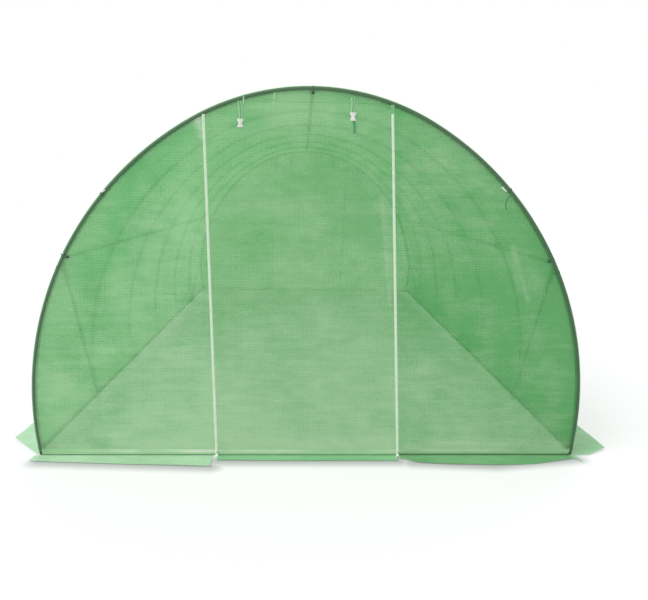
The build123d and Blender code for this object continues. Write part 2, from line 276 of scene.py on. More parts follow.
@dataclass(frozen=True)
class Mark:
    """A line on a sheet that fades out to both sides."""

    start: Pair  # its first end, across and up
    end: Pair  # its other end
    width: float  # how wide it fades out
    amount: float  # how strong it is, or below 0 how much darker than the rest

    def at(self, across: Wire, along: Wire) -> Wire:
        """How much of the mark a place takes.

        Args:
            across: Place across.
            along: Place up.

        Returns:
            1 on its line, falling to 0 at its width.
        """
        (x, z), (x_end, z_end) = self.start, self.end
        dx, dz = x_end - x, z_end - z
        share = ((across - x) * dx + (along - z) * dz) / (dx * dx + dz * dz)
        share = share.math("MAXIMUM", 0.0).math("MINIMUM", 1.0)
        off = across - (share * dx + x)
        up = along - (share * dz + z)
        return 1.0 - (off * off + up * up).math("SQRT").between(0.0, self.width)


def marks(*rows: tuple[float, ...]) -> tuple[Mark, ...]:
    """Makes marks from rows of x, z, other x, other z, width and amount."""
    return tuple(Mark(row[:2], row[2:4], *row[4:]) for row in rows)


@dataclass(frozen=True)
class Film:
    """Green film with reinforcing yarns woven in a grid.

    Most of its light comes through from behind, so it is dark where a tube touches it.
    """

    name: str
    # colours that it reflects, from its dark to its light streaks
    face: tuple[Colour, Colour] = ((0.07, 0.27, 0.09), (0.25, 0.47, 0.24))
    # colours of the light that it spreads on, in the same order
    lit: tuple[Colour, Colour] = ((0.24, 0.67, 0.30), (0.60, 0.86, 0.58))
    pale: Colour = (0.66, 0.80, 0.62)  # colour of its pale streaks and of the painted highlights along its creases
    tint: Colour = (0.78, 0.86, 0.72)  # colour of what shows through
    cover: Pair = (0.80, 0.87)  # how much the film hides, between the yarns and over them
    pitch: Pair = (0.0131, 0.0136)  # distance between yarns across and along
    yarn: Pair = (0.0010, 0.0030)  # half a yarn's width at its core and with its soft edge
    glow: float = 0.62  # share of what it hides that passes light on softly
    tone: float = 0.42  # how light it is, from 0 to 1
    rise: float = 0.0  # how much paler the film gets towards the ground
    rise_top: float = 1.25  # height at which that starts
    foot: float = 0.0  # height of the folded edge along the ground; 0 for none
    fold: float = 0.007  # half the height over which that edge fades out
    crest_highlight: float = 0.5  # how strong the painted highlight along that edge's crest is
    crest_highlight_start: float = -2.5  # place across where that painted highlight begins
    turned: Colour = (0.46, 0.76, 0.43)  # that edge's colour
    line: float = 0.0082  # height of the painted shadow line under it
    knit: float = 0.0018  # distance between the finest threads
    crease_highlights: tuple[Mark, ...] = ()  # painted highlights where its creases catch the light
    painted_light_and_shade: tuple[Mark, ...] = ()  # soft patches of painted light and painted shade

    def material(self) -> bpy.types.Material:
        """Builds the material.

        Returns:
            Film that shows what is behind it, lighter along its yarns.
        """
        s = Shader(bpy.data.materials.new(self.name))
        across, along = s.uv()
        place = s.add("ShaderNodeCombineXYZ", {}, {0: across, 1: along})
        cloud = s.noise(place, 1.9, 3.0)
        worn = s.noise(place, 3.7, 2.0)
        streak = s.stretched(across * 4.0, along * 30.0, 4.0)
        crinkle = s.stretched(across * 12.0, along * 20.0, 3.0)
        cell = s.stretched(across * 80.0, along * 80.0, 1.0)
        # the grid of yarns, worn away in places
        near, near_up = (w.math("PINGPONG", p / 2) for w, p in zip((across, along), self.pitch))
        yarn = 1.0 - near.math("MINIMUM", near_up).between(*self.yarn)
        yarn = yarn * (worn.between(0.38, 0.62) * 0.7 + 0.3)
        # how light each place is
        low = (1.0 - along.between(0.0, self.rise_top)) * self.rise
        tone = (streak - 0.5) * 0.65 + (cloud - 0.5) * 1.7 + (crinkle - 0.5) * 0.8
        tone = tone + (cell - 0.5) * 0.7 + yarn * 0.30 + (low * 0.35 + self.tone - 0.10)
        # painted highlights along its creases, and soft patches of painted light and painted shade
        pale = streak.between(0.50, 0.78) * low * 0.55
        drawn = streak.between(0.2, 0.6)
        for crease_highlight in self.crease_highlights:
            pale = pale.math("MAXIMUM", crease_highlight.at(across, along) * crease_highlight.amount * drawn)
        for painted_patch in self.painted_light_and_shade:
            tone = tone + painted_patch.at(across, along) * painted_patch.amount
        # how much it hides, and its colour with its painted highlights
        hide = yarn * (self.cover[1] - self.cover[0]) + self.cover[0]
        hide = hide + (cloud - 0.5) * 0.10 + (streak - 0.5) * 0.06
        colour = s.blend(tone, *self.face)
        colour = s.blend(pale.math("MINIMUM", 0.9), colour, self.pale)
        share = self.glow - pale * 0.3
        if self.foot:
            # the doubled edge along the ground, with a painted highlight along its crest and a
            # painted shadow line under it
            fold = 1.0 - along.between(self.foot - self.fold, self.foot + self.fold)
            above = along - self.line
            crest_highlight = above.between(0.008, 0.013) * (1.0 - above.between(0.024, 0.030))
            crest_highlight = crest_highlight * cloud.between(0.35, 0.6) * self.crest_highlight
            crest_highlight = crest_highlight * across.between(self.crest_highlight_start, self.crest_highlight_start + 0.5)
            # a painted shadow line under the fold, where its edge meets the skirt
            under = 1.0 - along.between(self.line - 0.0012, self.line + 0.0013)
            hide = hide.math("MAXIMUM", fold * 0.96)
            share = share * (1.0 - fold * 0.6)
            colour = s.blend(fold * 0.8, colour, self.turned)
            colour = s.blend(crest_highlight, colour, (0.90, 0.93, 0.86))
            colour = s.blend(under * 0.92, colour, (0.025, 0.07, 0.03))
            tone = tone * (1.0 - under)
        # the relief of threads and crinkles
        knit = across.math("PINGPONG", self.knit / 2) + along.math("PINGPONG", self.knit / 2)
        fine = s.bump(knit * 500.0 + yarn * 0.6, 0.0003, 0.3)
        normal = s.bump(crinkle, 0.012, 0.4, Normal=fine)
        # reflected light, light that comes through, and what shows behind
        values = {"Base Color": colour, "Roughness": 0.46 + (cloud - 0.5) * 0.2, "Normal": normal}
        values |= {"IOR": 1.45, "Specular IOR Level": 0.3}
        face = s.add("ShaderNodeBsdfPrincipled", {}, values)
        dark, light = (
            s.add("ShaderNodeBsdfTranslucent", {}, {"Color": lit, "Normal": normal})
            for lit in self.lit
        )
        clear = s.add("ShaderNodeBsdfTransparent", {}, {"Color": self.tint})
        body = s.mixed(share, face, s.mixed(tone, dark, light))
        return s.finish(s.mixed(hide.math("MINIMUM", 0.98), clear, body))


@dataclass(frozen=True)
class Steel:
    """Galvanised tube, dulled and a little stained."""

    name: str
    colour: Colour  # clean metal
    stain: Colour  # duller patches
    rough: float = 0.46  # roughness of clean metal

    def material(self) -> bpy.types.Material:
        """Builds the material.

        Returns:
            Spangled grey metal.
        """
        s = Shader(bpy.data.materials.new(self.name))
        values = {"Vector": s.place(), "Scale": 130.0}
        spangle = s.add("ShaderNodeTexVoronoi", {"feature": "F1"}, values)
        cloud = s.noise(s.place(), 9.0, 4.0)
        colour = s.blend(cloud.between(0.42, 0.68), self.colour, self.stain)
        bright = tuple(min(1.0, c * 1.35) for c in self.colour)
        colour = s.blend(spangle.between(0.25, 0.75) * 0.5, colour, bright)
        normal = s.bump(s.noise(s.place(), 420.0, 2.0), 0.0002, 0.3)
        return s.solid(colour, self.rough + (cloud - 0.5) * 0.3, normal, 0.55)


@dataclass(frozen=True)
class Weave:
    """Woven tape, webbing or thread."""

    name: str
    colour: Colour  # colour along the middle
    edge: Colour  # colour along the two edges
    half: float = 0.0  # distance from the middle to the edge stripe; 0 for none
    rib: float = 0.0016  # distance between the ribs of the weave
    fade: float = 0.0012  # width over which the edge stripe comes in

    def material(self) -> bpy.types.Material:
        """Builds the material.

        Returns:
            Cloth with a chevron rib, and a striped edge where it has one.
        """
        s = Shader(bpy.data.materials.new(self.name))
        across, along = s.uv()
        off = across.math("ABSOLUTE")
        rib = (along + off * 0.9).math("PINGPONG", self.rib / 2) / (self.rib / 2)
        soil = s.noise(s.place(), 55.0, 3.0)
        shade = tuple(c * 0.84 for c in self.colour)
        colour = s.blend(rib * 0.5 + (soil - 0.5) * 0.5, self.colour, shade)
        if self.half:
            colour = s.blend(off.between(self.half, self.half + self.fade), colour, self.edge)
        return s.solid(colour, 0.82, s.bump(rib, 0.0003, 0.6))


@dataclass(frozen=True)
class Plastic:
    """Moulded or lacquered surface with a faint grain."""

    name: str
    colour: Colour
    rough: float
    metal: float = 0.0  # how much of a metal it is

    def material(self) -> bpy.types.Material:
        """Builds the material.

        Returns:
            A smooth surface, duller where it is handled.
        """
        s = Shader(bpy.data.materials.new(self.name))
        cloud = s.noise(s.place(), 70.0, 3.0)
        shade = tuple(c * 0.82 for c in self.colour)
        colour = s.blend(cloud.between(0.35, 0.75), self.colour, shade)
        normal = s.bump(s.noise(s.place(), 900.0, 2.0), 0.0001, 0.25)
        return s.solid(colour, self.rough + (cloud - 0.5) * 0.25, normal, self.metal)


def laid_film(name: str, dark: Colour, light: Colour, glow: float = 0.15) -> Film:
    """Film that lies on the ground and hides it."""
    return Film(name, (dark, light), cover=(0.95, 0.97), glow=glow)


FOLD = 0.041  # height of the edge that is folded over along the foot of the end walls
# painted highlights along the left panel's creases
LEFT_CREASE_HIGHLIGHTS = marks(
    (-0.60, 1.815, -0.575, 1.74, 0.045, 0.90), (-0.84, 1.22, -0.72, 0.55, 0.26, 0.30),
    (-1.43, 0.46, -1.29, 0.44, 0.018, 0.42), (-1.45, 0.42, -1.22, 0.22, 0.20, 0.20),
    (-1.00, 0.06, -0.56, 0.06, 0.05, 0.30), (-1.38, 0.35, -1.24, 0.36, 0.012, 0.38),
    (-1.455, 0.497, -1.35, 0.481, 0.012, 0.38), (-1.41, 0.426, -1.27, 0.40, 0.014, 0.40),
    (-1.42, 0.30, -1.30, 0.285, 0.01, 0.35), (-1.30, 0.22, -1.10, 0.21, 0.012, 0.35),
    (-1.40, 0.62, -1.20, 0.60, 0.03, 0.35), (-1.36, 0.32, -1.05, 0.36, 0.03, 0.40),
    (-0.62, 1.20, -0.60, 0.75, 0.05, 0.30),
)
# soft patches of painted light and painted shade on the left panel, among them the blurred shadows
# of the hoops behind it
LEFT_PAINTED_LIGHT = marks(
    (-1.15, 0.92, -0.93, 1.56, 0.11, -0.28), (-0.93, 1.56, -0.66, 1.76, 0.10, -0.42),
    (-0.93, 1.35, -0.83, 1.44, 0.10, -0.30), (-1.20, 1.01, -1.13, 0.74, 0.17, -0.50),
    (-1.20, 0.17, -1.06, 0.25, 0.15, -0.60), (-1.38, 0.10, -1.12, 0.06, 0.09, -0.40),
    (-1.42, 0.32, -1.33, 0.39, 0.10, 0.40), (-0.94, 0.38, -0.67, 0.41, 0.16, -0.28),
    (-0.84, 1.49, -0.73, 1.60, 0.09, -0.35), (-0.65, 1.39, -0.67, 1.15, 0.10, 0.25),
    (-0.96, 1.06, -0.94, 0.79, 0.08, 0.10), (-0.93, 0.05, -0.57, 0.05, 0.07, 0.35),
)
# painted highlights along the door's creases
DOOR_CREASE_HIGHLIGHTS = marks(
    (-0.48, 1.78, 0.36, 1.80, 0.14, 0.20), (-0.47, 1.37, 0.41, 1.35, 0.06, 0.26),
    (-0.10, 0.08, 0.46, 0.10, 0.09, 0.25), (0.374, 1.417, 0.429, 0.841, 0.02, 0.48),
    (0.40, 1.33, 0.44, 0.90, 0.012, 0.32), (-0.44, 1.86, -0.12, 1.93, 0.05, 0.25),
    (0.12, 1.92, 0.34, 1.85, 0.04, 0.25),
)
# soft patches of painted light and painted shade on the door
DOOR_PAINTED_LIGHT = marks(
    (-0.24, 0.92, 0.21, 0.91, 0.11, -0.14), (0.21, 1.55, 0.34, 1.17, 0.11, -0.38),
    (-0.31, 0.94, -0.21, 0.94, 0.10, 0.22), (0.06, 1.62, 0.20, 1.34, 0.20, -0.42),
    (-0.13, 1.90, 0.07, 1.87, 0.13, 0.50), (-0.26, 1.58, -0.06, 1.66, 0.12, 0.15),
    (-0.43, 0.05, 0.42, 0.05, 0.08, 0.45),
)
# painted highlights along the right panel's creases
RIGHT_CREASE_HIGHLIGHTS = marks(
    (0.48, 1.62, 0.78, 1.46, 0.24, 0.17), (0.72, 0.074, 1.18, 0.07, 0.014, 0.50),
    (1.03, 0.27, 1.10, 0.27, 0.014, 0.50), (0.69, 0.392, 0.76, 0.39, 0.008, 0.45),
    (1.085, 1.16, 1.18, 0.875, 0.026, 0.42), (1.10, 1.05, 1.14, 0.93, 0.045, 0.30),
    (0.60, 1.62, 0.78, 1.45, 0.06, 0.30), (0.68, 1.35, 0.95, 1.28, 0.05, 0.28),
    (0.62, 1.66, 0.96, 1.46, 0.035, 0.30),
)
# soft patches of painted light and painted shade on the right panel
RIGHT_PAINTED_LIGHT = marks(
    (1.22, 1.20, 1.44, 0.70, 0.11, -0.45), (1.46, 0.62, 1.45, 0.15, 0.13, -0.55),
    (1.05, 0.72, 1.28, 0.52, 0.16, -0.16), (0.93, 0.95, 1.18, 0.81, 0.20, -0.55),
    (0.66, 0.51, 0.81, 0.38, 0.12, 0.20), (0.86, 0.76, 0.87, 0.62, 0.11, -0.40),
    (1.07, 0.60, 1.11, 0.43, 0.10, -0.40), (1.29, 0.79, 1.32, 0.63, 0.09, -0.35),
    (0.51, 1.56, 0.51, 1.33, 0.08, 0.30), (0.75, 1.37, 0.84, 1.22, 0.12, -0.28),
    (0.56, 0.05, 1.39, 0.05, 0.07, 0.35),
)


class Finish(Enum):
    """Every finish on the tunnel, with the record's slot that it belongs to."""

    # The three panels of an end wall are lit and shaded copies of one film: painted lighter on the
    # left, where the light falls, and darker on the right, each with its own painted highlights and
    # patches of painted light and shade.
    WALL_LEFT = "cover_film", Film(
        "left_wall_sheet",
        lit=((0.32, 0.66, 0.37), (0.68, 0.85, 0.65)),
        tone=0.52,
        rise=0.9,
        foot=FOLD,
        crest_highlight=1.0,
        crest_highlight_start=-1.35,
        crease_highlights=LEFT_CREASE_HIGHLIGHTS,
        painted_light_and_shade=LEFT_PAINTED_LIGHT,
    )
    WALL_DOOR = "cover_film", Film(
        "door_sheet",
        lit=((0.37, 0.67, 0.39), (0.68, 0.82, 0.63)),
        tone=0.44,
        rise=0.6,
        foot=FOLD,
        crest_highlight=0.75,
        crease_highlights=DOOR_CREASE_HIGHLIGHTS,
        painted_light_and_shade=DOOR_PAINTED_LIGHT,
    )
    WALL_RIGHT = "cover_film", Film(
        "right_wall_sheet",
        lit=((0.26, 0.61, 0.30), (0.62, 0.77, 0.58)),
        tone=0.28,
        rise=0.45,
        turned=(0.38, 0.66, 0.36),
        line=0.0125,
        foot=FOLD,
        crest_highlight=0.4,
        crease_highlights=RIGHT_CREASE_HIGHLIGHTS,
        painted_light_and_shade=RIGHT_PAINTED_LIGHT,
    )
    COVER = "cover_film", Film("roof_sheet", cover=(0.72, 0.80), tone=0.05)
    HEM = "hem_film", Film("hem_sheet", cover=(0.06, 0.12), tint=(1.0, 1.0, 1.0), tone=0.9)
    # Lit and shaded copies of one skirt film: painted lighter on the left, where the light falls,
    # darker on the right, and in between in front of the door.
    SKIRT = "skirt_film", laid_film("skirt_sheet", (0.18, 0.48, 0.20), (0.28, 0.60, 0.30))
    DOOR_SKIRT = "skirt_film", laid_film("door_skirt_sheet", (0.27, 0.64, 0.31), (0.38, 0.76, 0.43))
    PALE_SKIRT = "skirt_film", laid_film(
        "pale_skirt_sheet", (0.44, 0.74, 0.46), (0.62, 0.86, 0.63), 0.12
    )
    TUBE = "frame_tube", Steel("tube_steel", (0.60, 0.70, 0.60), (0.50, 0.60, 0.50))
    BAR = "frame_tube", Steel("bar_steel", (0.42, 0.51, 0.42), (0.32, 0.41, 0.33))
    RAIL = "frame_tube", Steel("rail_steel", (0.05, 0.075, 0.055), (0.035, 0.05, 0.04))
    BOLT = "frame_tube", Steel("bolt_steel", (0.06, 0.08, 0.06), (0.03, 0.04, 0.03), 0.4)
    TAPE = "zip_chain", Weave("zip_tape", (0.84, 1.0, 0.80), (0.74, 0.9, 0.70), 0.0056)
    TAPE_END = "zip_chain", Weave("tape_end", (0.22, 0.54, 0.24), (0.2, 0.5, 0.2), 0.0056)
    TEETH = "zip_chain", Plastic("zip_teeth", (0.87, 1.0, 0.83), 0.4)
    SLIDER = "zip_metal", Plastic("slider_lacquer", (0.86, 0.87, 0.80), 0.4, 0.1)
    TAG = "zip_metal", Plastic("slider_tag", (0.36, 0.20, 0.14), 0.5, 0.3)
    SLEEVE = "cover_film", Weave(
        "sleeve_film", (0.085, 0.165, 0.09), (0.36, 0.54, 0.36), 0.015, 0.0131
    )
    STRAP = "webbing", Weave("strap_webbing", (0.16, 0.42, 0.19), (0.50, 0.78, 0.50), 0.0042)
    TAIL = "webbing", Weave("tail_webbing", (0.10, 0.36, 0.15), (0.12, 0.40, 0.18), 0.0052)
    BUCKLE = "buckle", Plastic("buckle_plastic", (0.90, 0.91, 0.88), 0.32)
    THREAD = "zip_chain", Weave("sewing_thread", (0.62, 0.80, 0.60), (0.6, 0.8, 0.6))
    HEM_THREAD = "hem_film", Weave("hem_thread", (0.05, 0.27, 0.09), (0.1, 0.4, 0.1))
    TIE_TAIL = "tie_cord", Weave("white_tape", (0.86, 0.92, 0.84), (0.8, 0.9, 0.8))
    CAP = "frame_tube", Plastic("cap_plastic", (0.02, 0.06, 0.025), 0.5)
    TIE = "tie_cord", Weave("tie_braid", (0.05, 0.17, 0.07), (0.1, 0.3, 0.1), rib=0.003)
    CORD = "tie_cord", Weave("cord_braid", (0.03, 0.21, 0.07), (0.1, 0.4, 0.1), rib=0.004)
    LOOP = "tie_cord", Weave("loop_tape", (0.44, 0.72, 0.46), (0.5, 0.8, 0.5))

    @property
    def slot(self) -> str:
        """The record's material slot."""
        return self.value[0]

    def material(self) -> bpy.types.Material:
        """The material, built once."""
        look = self.value[1]
        return bpy.data.materials.get(look.name) or look.material()


# --- Shapes ---


@dataclass(frozen=True)
class Arch:
    """The line of every hoop: a crown arc between two side arcs."""

    crown_radius: float = 1.26564  # radius of the crown arc, on the tube's centre line
    side_radius: float = 1.70276  # radius of each side arc
    crown_height: float = 0.71856  # height of the crown arc's centre
    side_reach: float = 0.21856  # how far past the middle each side arc has its centre
    widest: float = 0.34  # height of the widest line
    turn: float = pi / 6  # angle from upright at which the arcs meet

    def grown(self, by: float) -> "Arch":
        """The parallel arch that lies further out, or in where the distance is negative."""
        crown, side = self.crown_radius + by, self.side_radius + by
        return replace(self, crown_radius=crown, side_radius=side)

    def arc(self, angle: float) -> Point:
        """Finds the arc that an angle lies on.

        Args:
            angle: Angle from upright in radians, positive to the right.

        Returns:
            The arc's centre across and up, and its radius.
        """
        if abs(angle) <= self.turn:
            return 0.0, self.crown_height, self.crown_radius
        return (-self.side_reach if angle > 0 else self.side_reach), self.widest, self.side_radius

    def point(self, angle: float) -> Pair:
        """Place across and up at an angle from upright."""
        x, z, radius = self.arc(angle)
        return x + radius * sin(angle), z + radius * cos(angle)

    def angle_at(self, height: float) -> float:
        """Finds where the right side passes a height.

        Args:
            height: The height.

        Returns:
            The angle from upright.
        """
        if height > self.point(self.turn)[1]:
            return acos((height - self.crown_height) / self.crown_radius)
        return acos((height - self.widest) / self.side_radius)

    def angle_along(self, length: float) -> float:
        """Finds where a length along the arch ends.

        Args:
            length: Length from the crown, positive to the right.

        Returns:
            The angle from upright.
        """
        crown = self.crown_radius * self.turn
        if abs(length) <= crown:
            return length / self.crown_radius
        past = (abs(length) - crown) / self.side_radius
        return (self.turn + past) * (1 if length > 0 else -1)

    def length_to(self, height: float) -> float:
        """Length along the arch from the crown down to a height."""
        past = self.angle_at(height) - self.turn
        return self.crown_radius * self.turn + self.side_radius * past

    def depth(self, x: float, z: float) -> float:
        """Measures how far a place lies inside the arch.

        Args:
            x: Place across.
            z: Height.

        Returns:
            The distance inwards.
        """
        if atan2(abs(x), z - self.crown_height) <= self.turn:
            return self.crown_radius - hypot(x, z - self.crown_height)
        return self.side_radius - hypot(abs(x) + self.side_reach, z - self.widest)


TUBE_R = 0.0125  # radius of the hoops' tube
OUTER = 0.0158  # the film's outer face, from the tubes' centre line
INNER = -0.0085  # the rim of the end film, from there too
ARCH = Arch()  # the tubes' centre line
FILM = ARCH.grown(OUTER)  # the film's outer face
RIM = ARCH.grown(INNER)  # the rim of the end film
HALF_WIDTH = 1.5  # of the tunnel without its skirts
CROWN = 2.0  # height of the tunnel
END_Y = 3.0  # outer face of an end wall
COVER_END = 2.9967  # end of a side skirt
SHEET_END = 2.9860  # end of the cover
FIRST_HOOP = -2.98227  # place of the first hoop, at the front
PITCH = -2 * FIRST_HOOP / 6  # from hoop to hoop
FOOT = 0.0033  # height of the film's lower edge
HOOP_YS = [FIRST_HOOP + PITCH * i for i in range(7)]
ROUND_HOOPS = [f"round_hoop_{i}" for i in range(1, 8)]
PURLIN_HEIGHT = 1.085  # height of the side purlins' bolts


def soft(value: float, low: float, high: float) -> float:
    """Smooth step from 0 at low to 1 at high."""
    t = min(1.0, max(0.0, (value - low) / (high - low)))
    return t * t * (3 - 2 * t)


def ripple(x: float, y: float, seed: float) -> float:
    """Smooth noise about 0, from -1 to 1."""
    return noise.noise(Vector((x, y, seed)))


class Form:
    """A mesh in the making, with a flat map for its weave."""

    def __init__(self) -> None:
        """Starts an empty mesh."""
        self.bm = bmesh.new()
        self.flat = self.bm.loops.layers.uv.new("flat")

    def grid(self, low: Pair, high: Pair, step: float) -> "Form":
        """Starts from a flat grid in XY.

        Args:
            low: Lowest corner.
            high: Highest corner.
            step: About how wide each square is.

        Returns:
            This form.
        """
        size = Vector((high[0] - low[0], high[1] - low[1], 2.0))
        centre = Vector(((high[0] + low[0]) / 2, (high[1] + low[1]) / 2, 0.0))
        bmesh.ops.create_grid(
            self.bm,
            x_segments=max(1, ceil(size.x / step)),
            y_segments=max(1, ceil(size.y / step)),
            size=1.0,
            matrix=Matrix.Translation(centre) @ Matrix.Diagonal((*(size / 2), 1.0)),
        )
        return self

    def cut(self, place: Point, normal: Point) -> "Form":
        """Cuts away what lies beyond a plane.

        Args:
            place: A point of the plane.
            normal: Direction towards what is cut away.

        Returns:
            This form.
        """
        geom = self.bm.verts[:] + self.bm.edges[:] + self.bm.faces[:]
        bmesh.ops.bisect_plane(
            self.bm, geom=geom, dist=1e-7, plane_co=place, plane_no=normal, clear_outer=True
        )
        return self

    def mark_flat(self) -> "Form":
        """Writes each corner's place in XY to the flat map.

        Returns:
            This form.
        """
        for face in self.bm.faces:
            for loop in face.loops:
                loop[self.flat].uv = loop.vert.co.xy
        return self

    def move(self, rule: Callable[[Vector], Iterable[float]]) -> "Form":
        """Moves every vertex.

        Args:
            rule: Gives a vertex's new place from its old one.

        Returns:
            This form.
        """
        for vert in self.bm.verts:
            vert.co = Vector(rule(vert.co))
        return self

    def turn(self, matrix: Matrix) -> "Form":
        """Carries the whole form by a matrix."""
        bmesh.ops.transform(self.bm, matrix=matrix, verts=self.bm.verts)
        return self

    def outward(self) -> "Form":
        """Turns every face outwards."""
        bmesh.ops.recalc_face_normals(self.bm, faces=self.bm.faces)
        return self

    def block(self, size: Point, matrix: Matrix, bevel: float = 0.0) -> "Form":
        """Adds a block, with its edges rounded.

        Args:
            size: Its three sizes.
            matrix: Its place.
            bevel: Width of the rounding; 0 for none.

        Returns:
            This form.
        """
        matrix = matrix @ Matrix.Diagonal((*size, 1.0))
        made = bmesh.ops.create_cube(self.bm, size=1.0, matrix=matrix)
        if bevel:
            self.bevel(dict.fromkeys(e for v in made["verts"] for e in v.link_edges), bevel)
        return self

    def row(self, size: Point, places: Iterable[Point]) -> "Form":
        """Adds a block at every one of some places.

        Args:
            size: Each block's three sizes.
            places: Their middles.

        Returns:
            This form.
        """
        for place in places:
            self.block(size, Matrix.Translation(place))
        return self

    def bevel(self, edges: Iterable[bmesh.types.BMEdge], width: float) -> None:
        """Rounds edges.

        Args:
            edges: The edges.
            width: Width of the rounding.
        """
        bmesh.ops.bevel(
            self.bm,
            geom=list(edges),
            offset=width,
            offset_type="OFFSET",
            affect="EDGES",
            segments=2,
            profile=0.5,
            material=-1,
            clamp_overlap=True,
        )

    def drum(self, size: Point, matrix: Matrix, sides: int) -> None:
        """Adds a capped cylinder or cone along its Z.

        Args:
            size: Its radius below, its radius on top and its depth.
            matrix: Its place.
            sides: Sides of its outline.
        """
        low, top, depth = size
        bmesh.ops.create_cone(
            self.bm,
            cap_ends=True,
            segments=sides,
            radius1=low,
            radius2=top,
            depth=depth,
            matrix=matrix,
        )

    def copy(self) -> "Form":
        """Makes a second form like this one.

        Returns:
            The second form.
        """
        made = Form.__new__(Form)
        made.bm = self.bm.copy()
        made.flat = made.bm.loops.layers.uv["flat"]
        return made

    def add(self, part: "Form") -> None:
        """Takes in another form, which is used up.

        Args:
            part: The other form.
        """
        mesh = part.mesh("part")
        self.bm.from_mesh(mesh)
        bpy.data.meshes.remove(mesh)

    def mesh(self, name: str) -> bpy.types.Mesh:
        """Ends the form as a mesh.

        Args:
            name: The mesh's name.

        Returns:
            The mesh.
        """
        mesh = bpy.data.meshes.new(name)
        self.bm.to_mesh(mesh)
        self.bm.free()
        return mesh

    def keep(
        self, name: str, finish: Finish, nodes: Iterable[str] = (), smooth: bool = True
    ) -> Piece:
        """Ends the form as a piece of the tunnel.

        Args:
            name: The piece's name.
            finish: Its finish.
            nodes: CAD nodes that it replaces.
            smooth: Whether its faces are shaded smooth.

        Returns:
            The piece.
        """
        mesh = self.mesh(name)
        mesh.shade_smooth() if smooth else mesh.shade_flat()
        LOG.info("%s: %d faces", name, len(mesh.polygons))
        return ridden(name, mesh, finish, nodes)


def shown(name: str, data: bpy.types.ID | None) -> Piece:
    """Puts an object in the scene.

    Args:
        name: Its name.
        data: Its mesh, curve, lamp or camera.

    Returns:
        The object.
    """
    made = bpy.data.objects.new(name, data)
    bpy.context.scene.collection.objects.link(made)
    return made


def ridden(
    name: str, data: bpy.types.Mesh | bpy.types.Curve, finish: Finish, nodes: Iterable[str]
) -> Piece:
    """Makes a piece of the tunnel from its mesh or curve.

    Args:
        name: The piece's name.
        data: Its mesh or curve.
        finish: Its finish.
        nodes: CAD nodes that it replaces.

    Returns:
        The piece.
    """
    data.materials.append(finish.material())
    piece = shown(name, data)
    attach(piece, "root")
    finish.slot
    if nodes:
        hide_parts(*nodes)
    return piece


def area_of(piece: Piece) -> float:
    """Area of a piece's faces."""
    return sum(face.area for face in piece.data.polygons)


# --- Steel frame ---


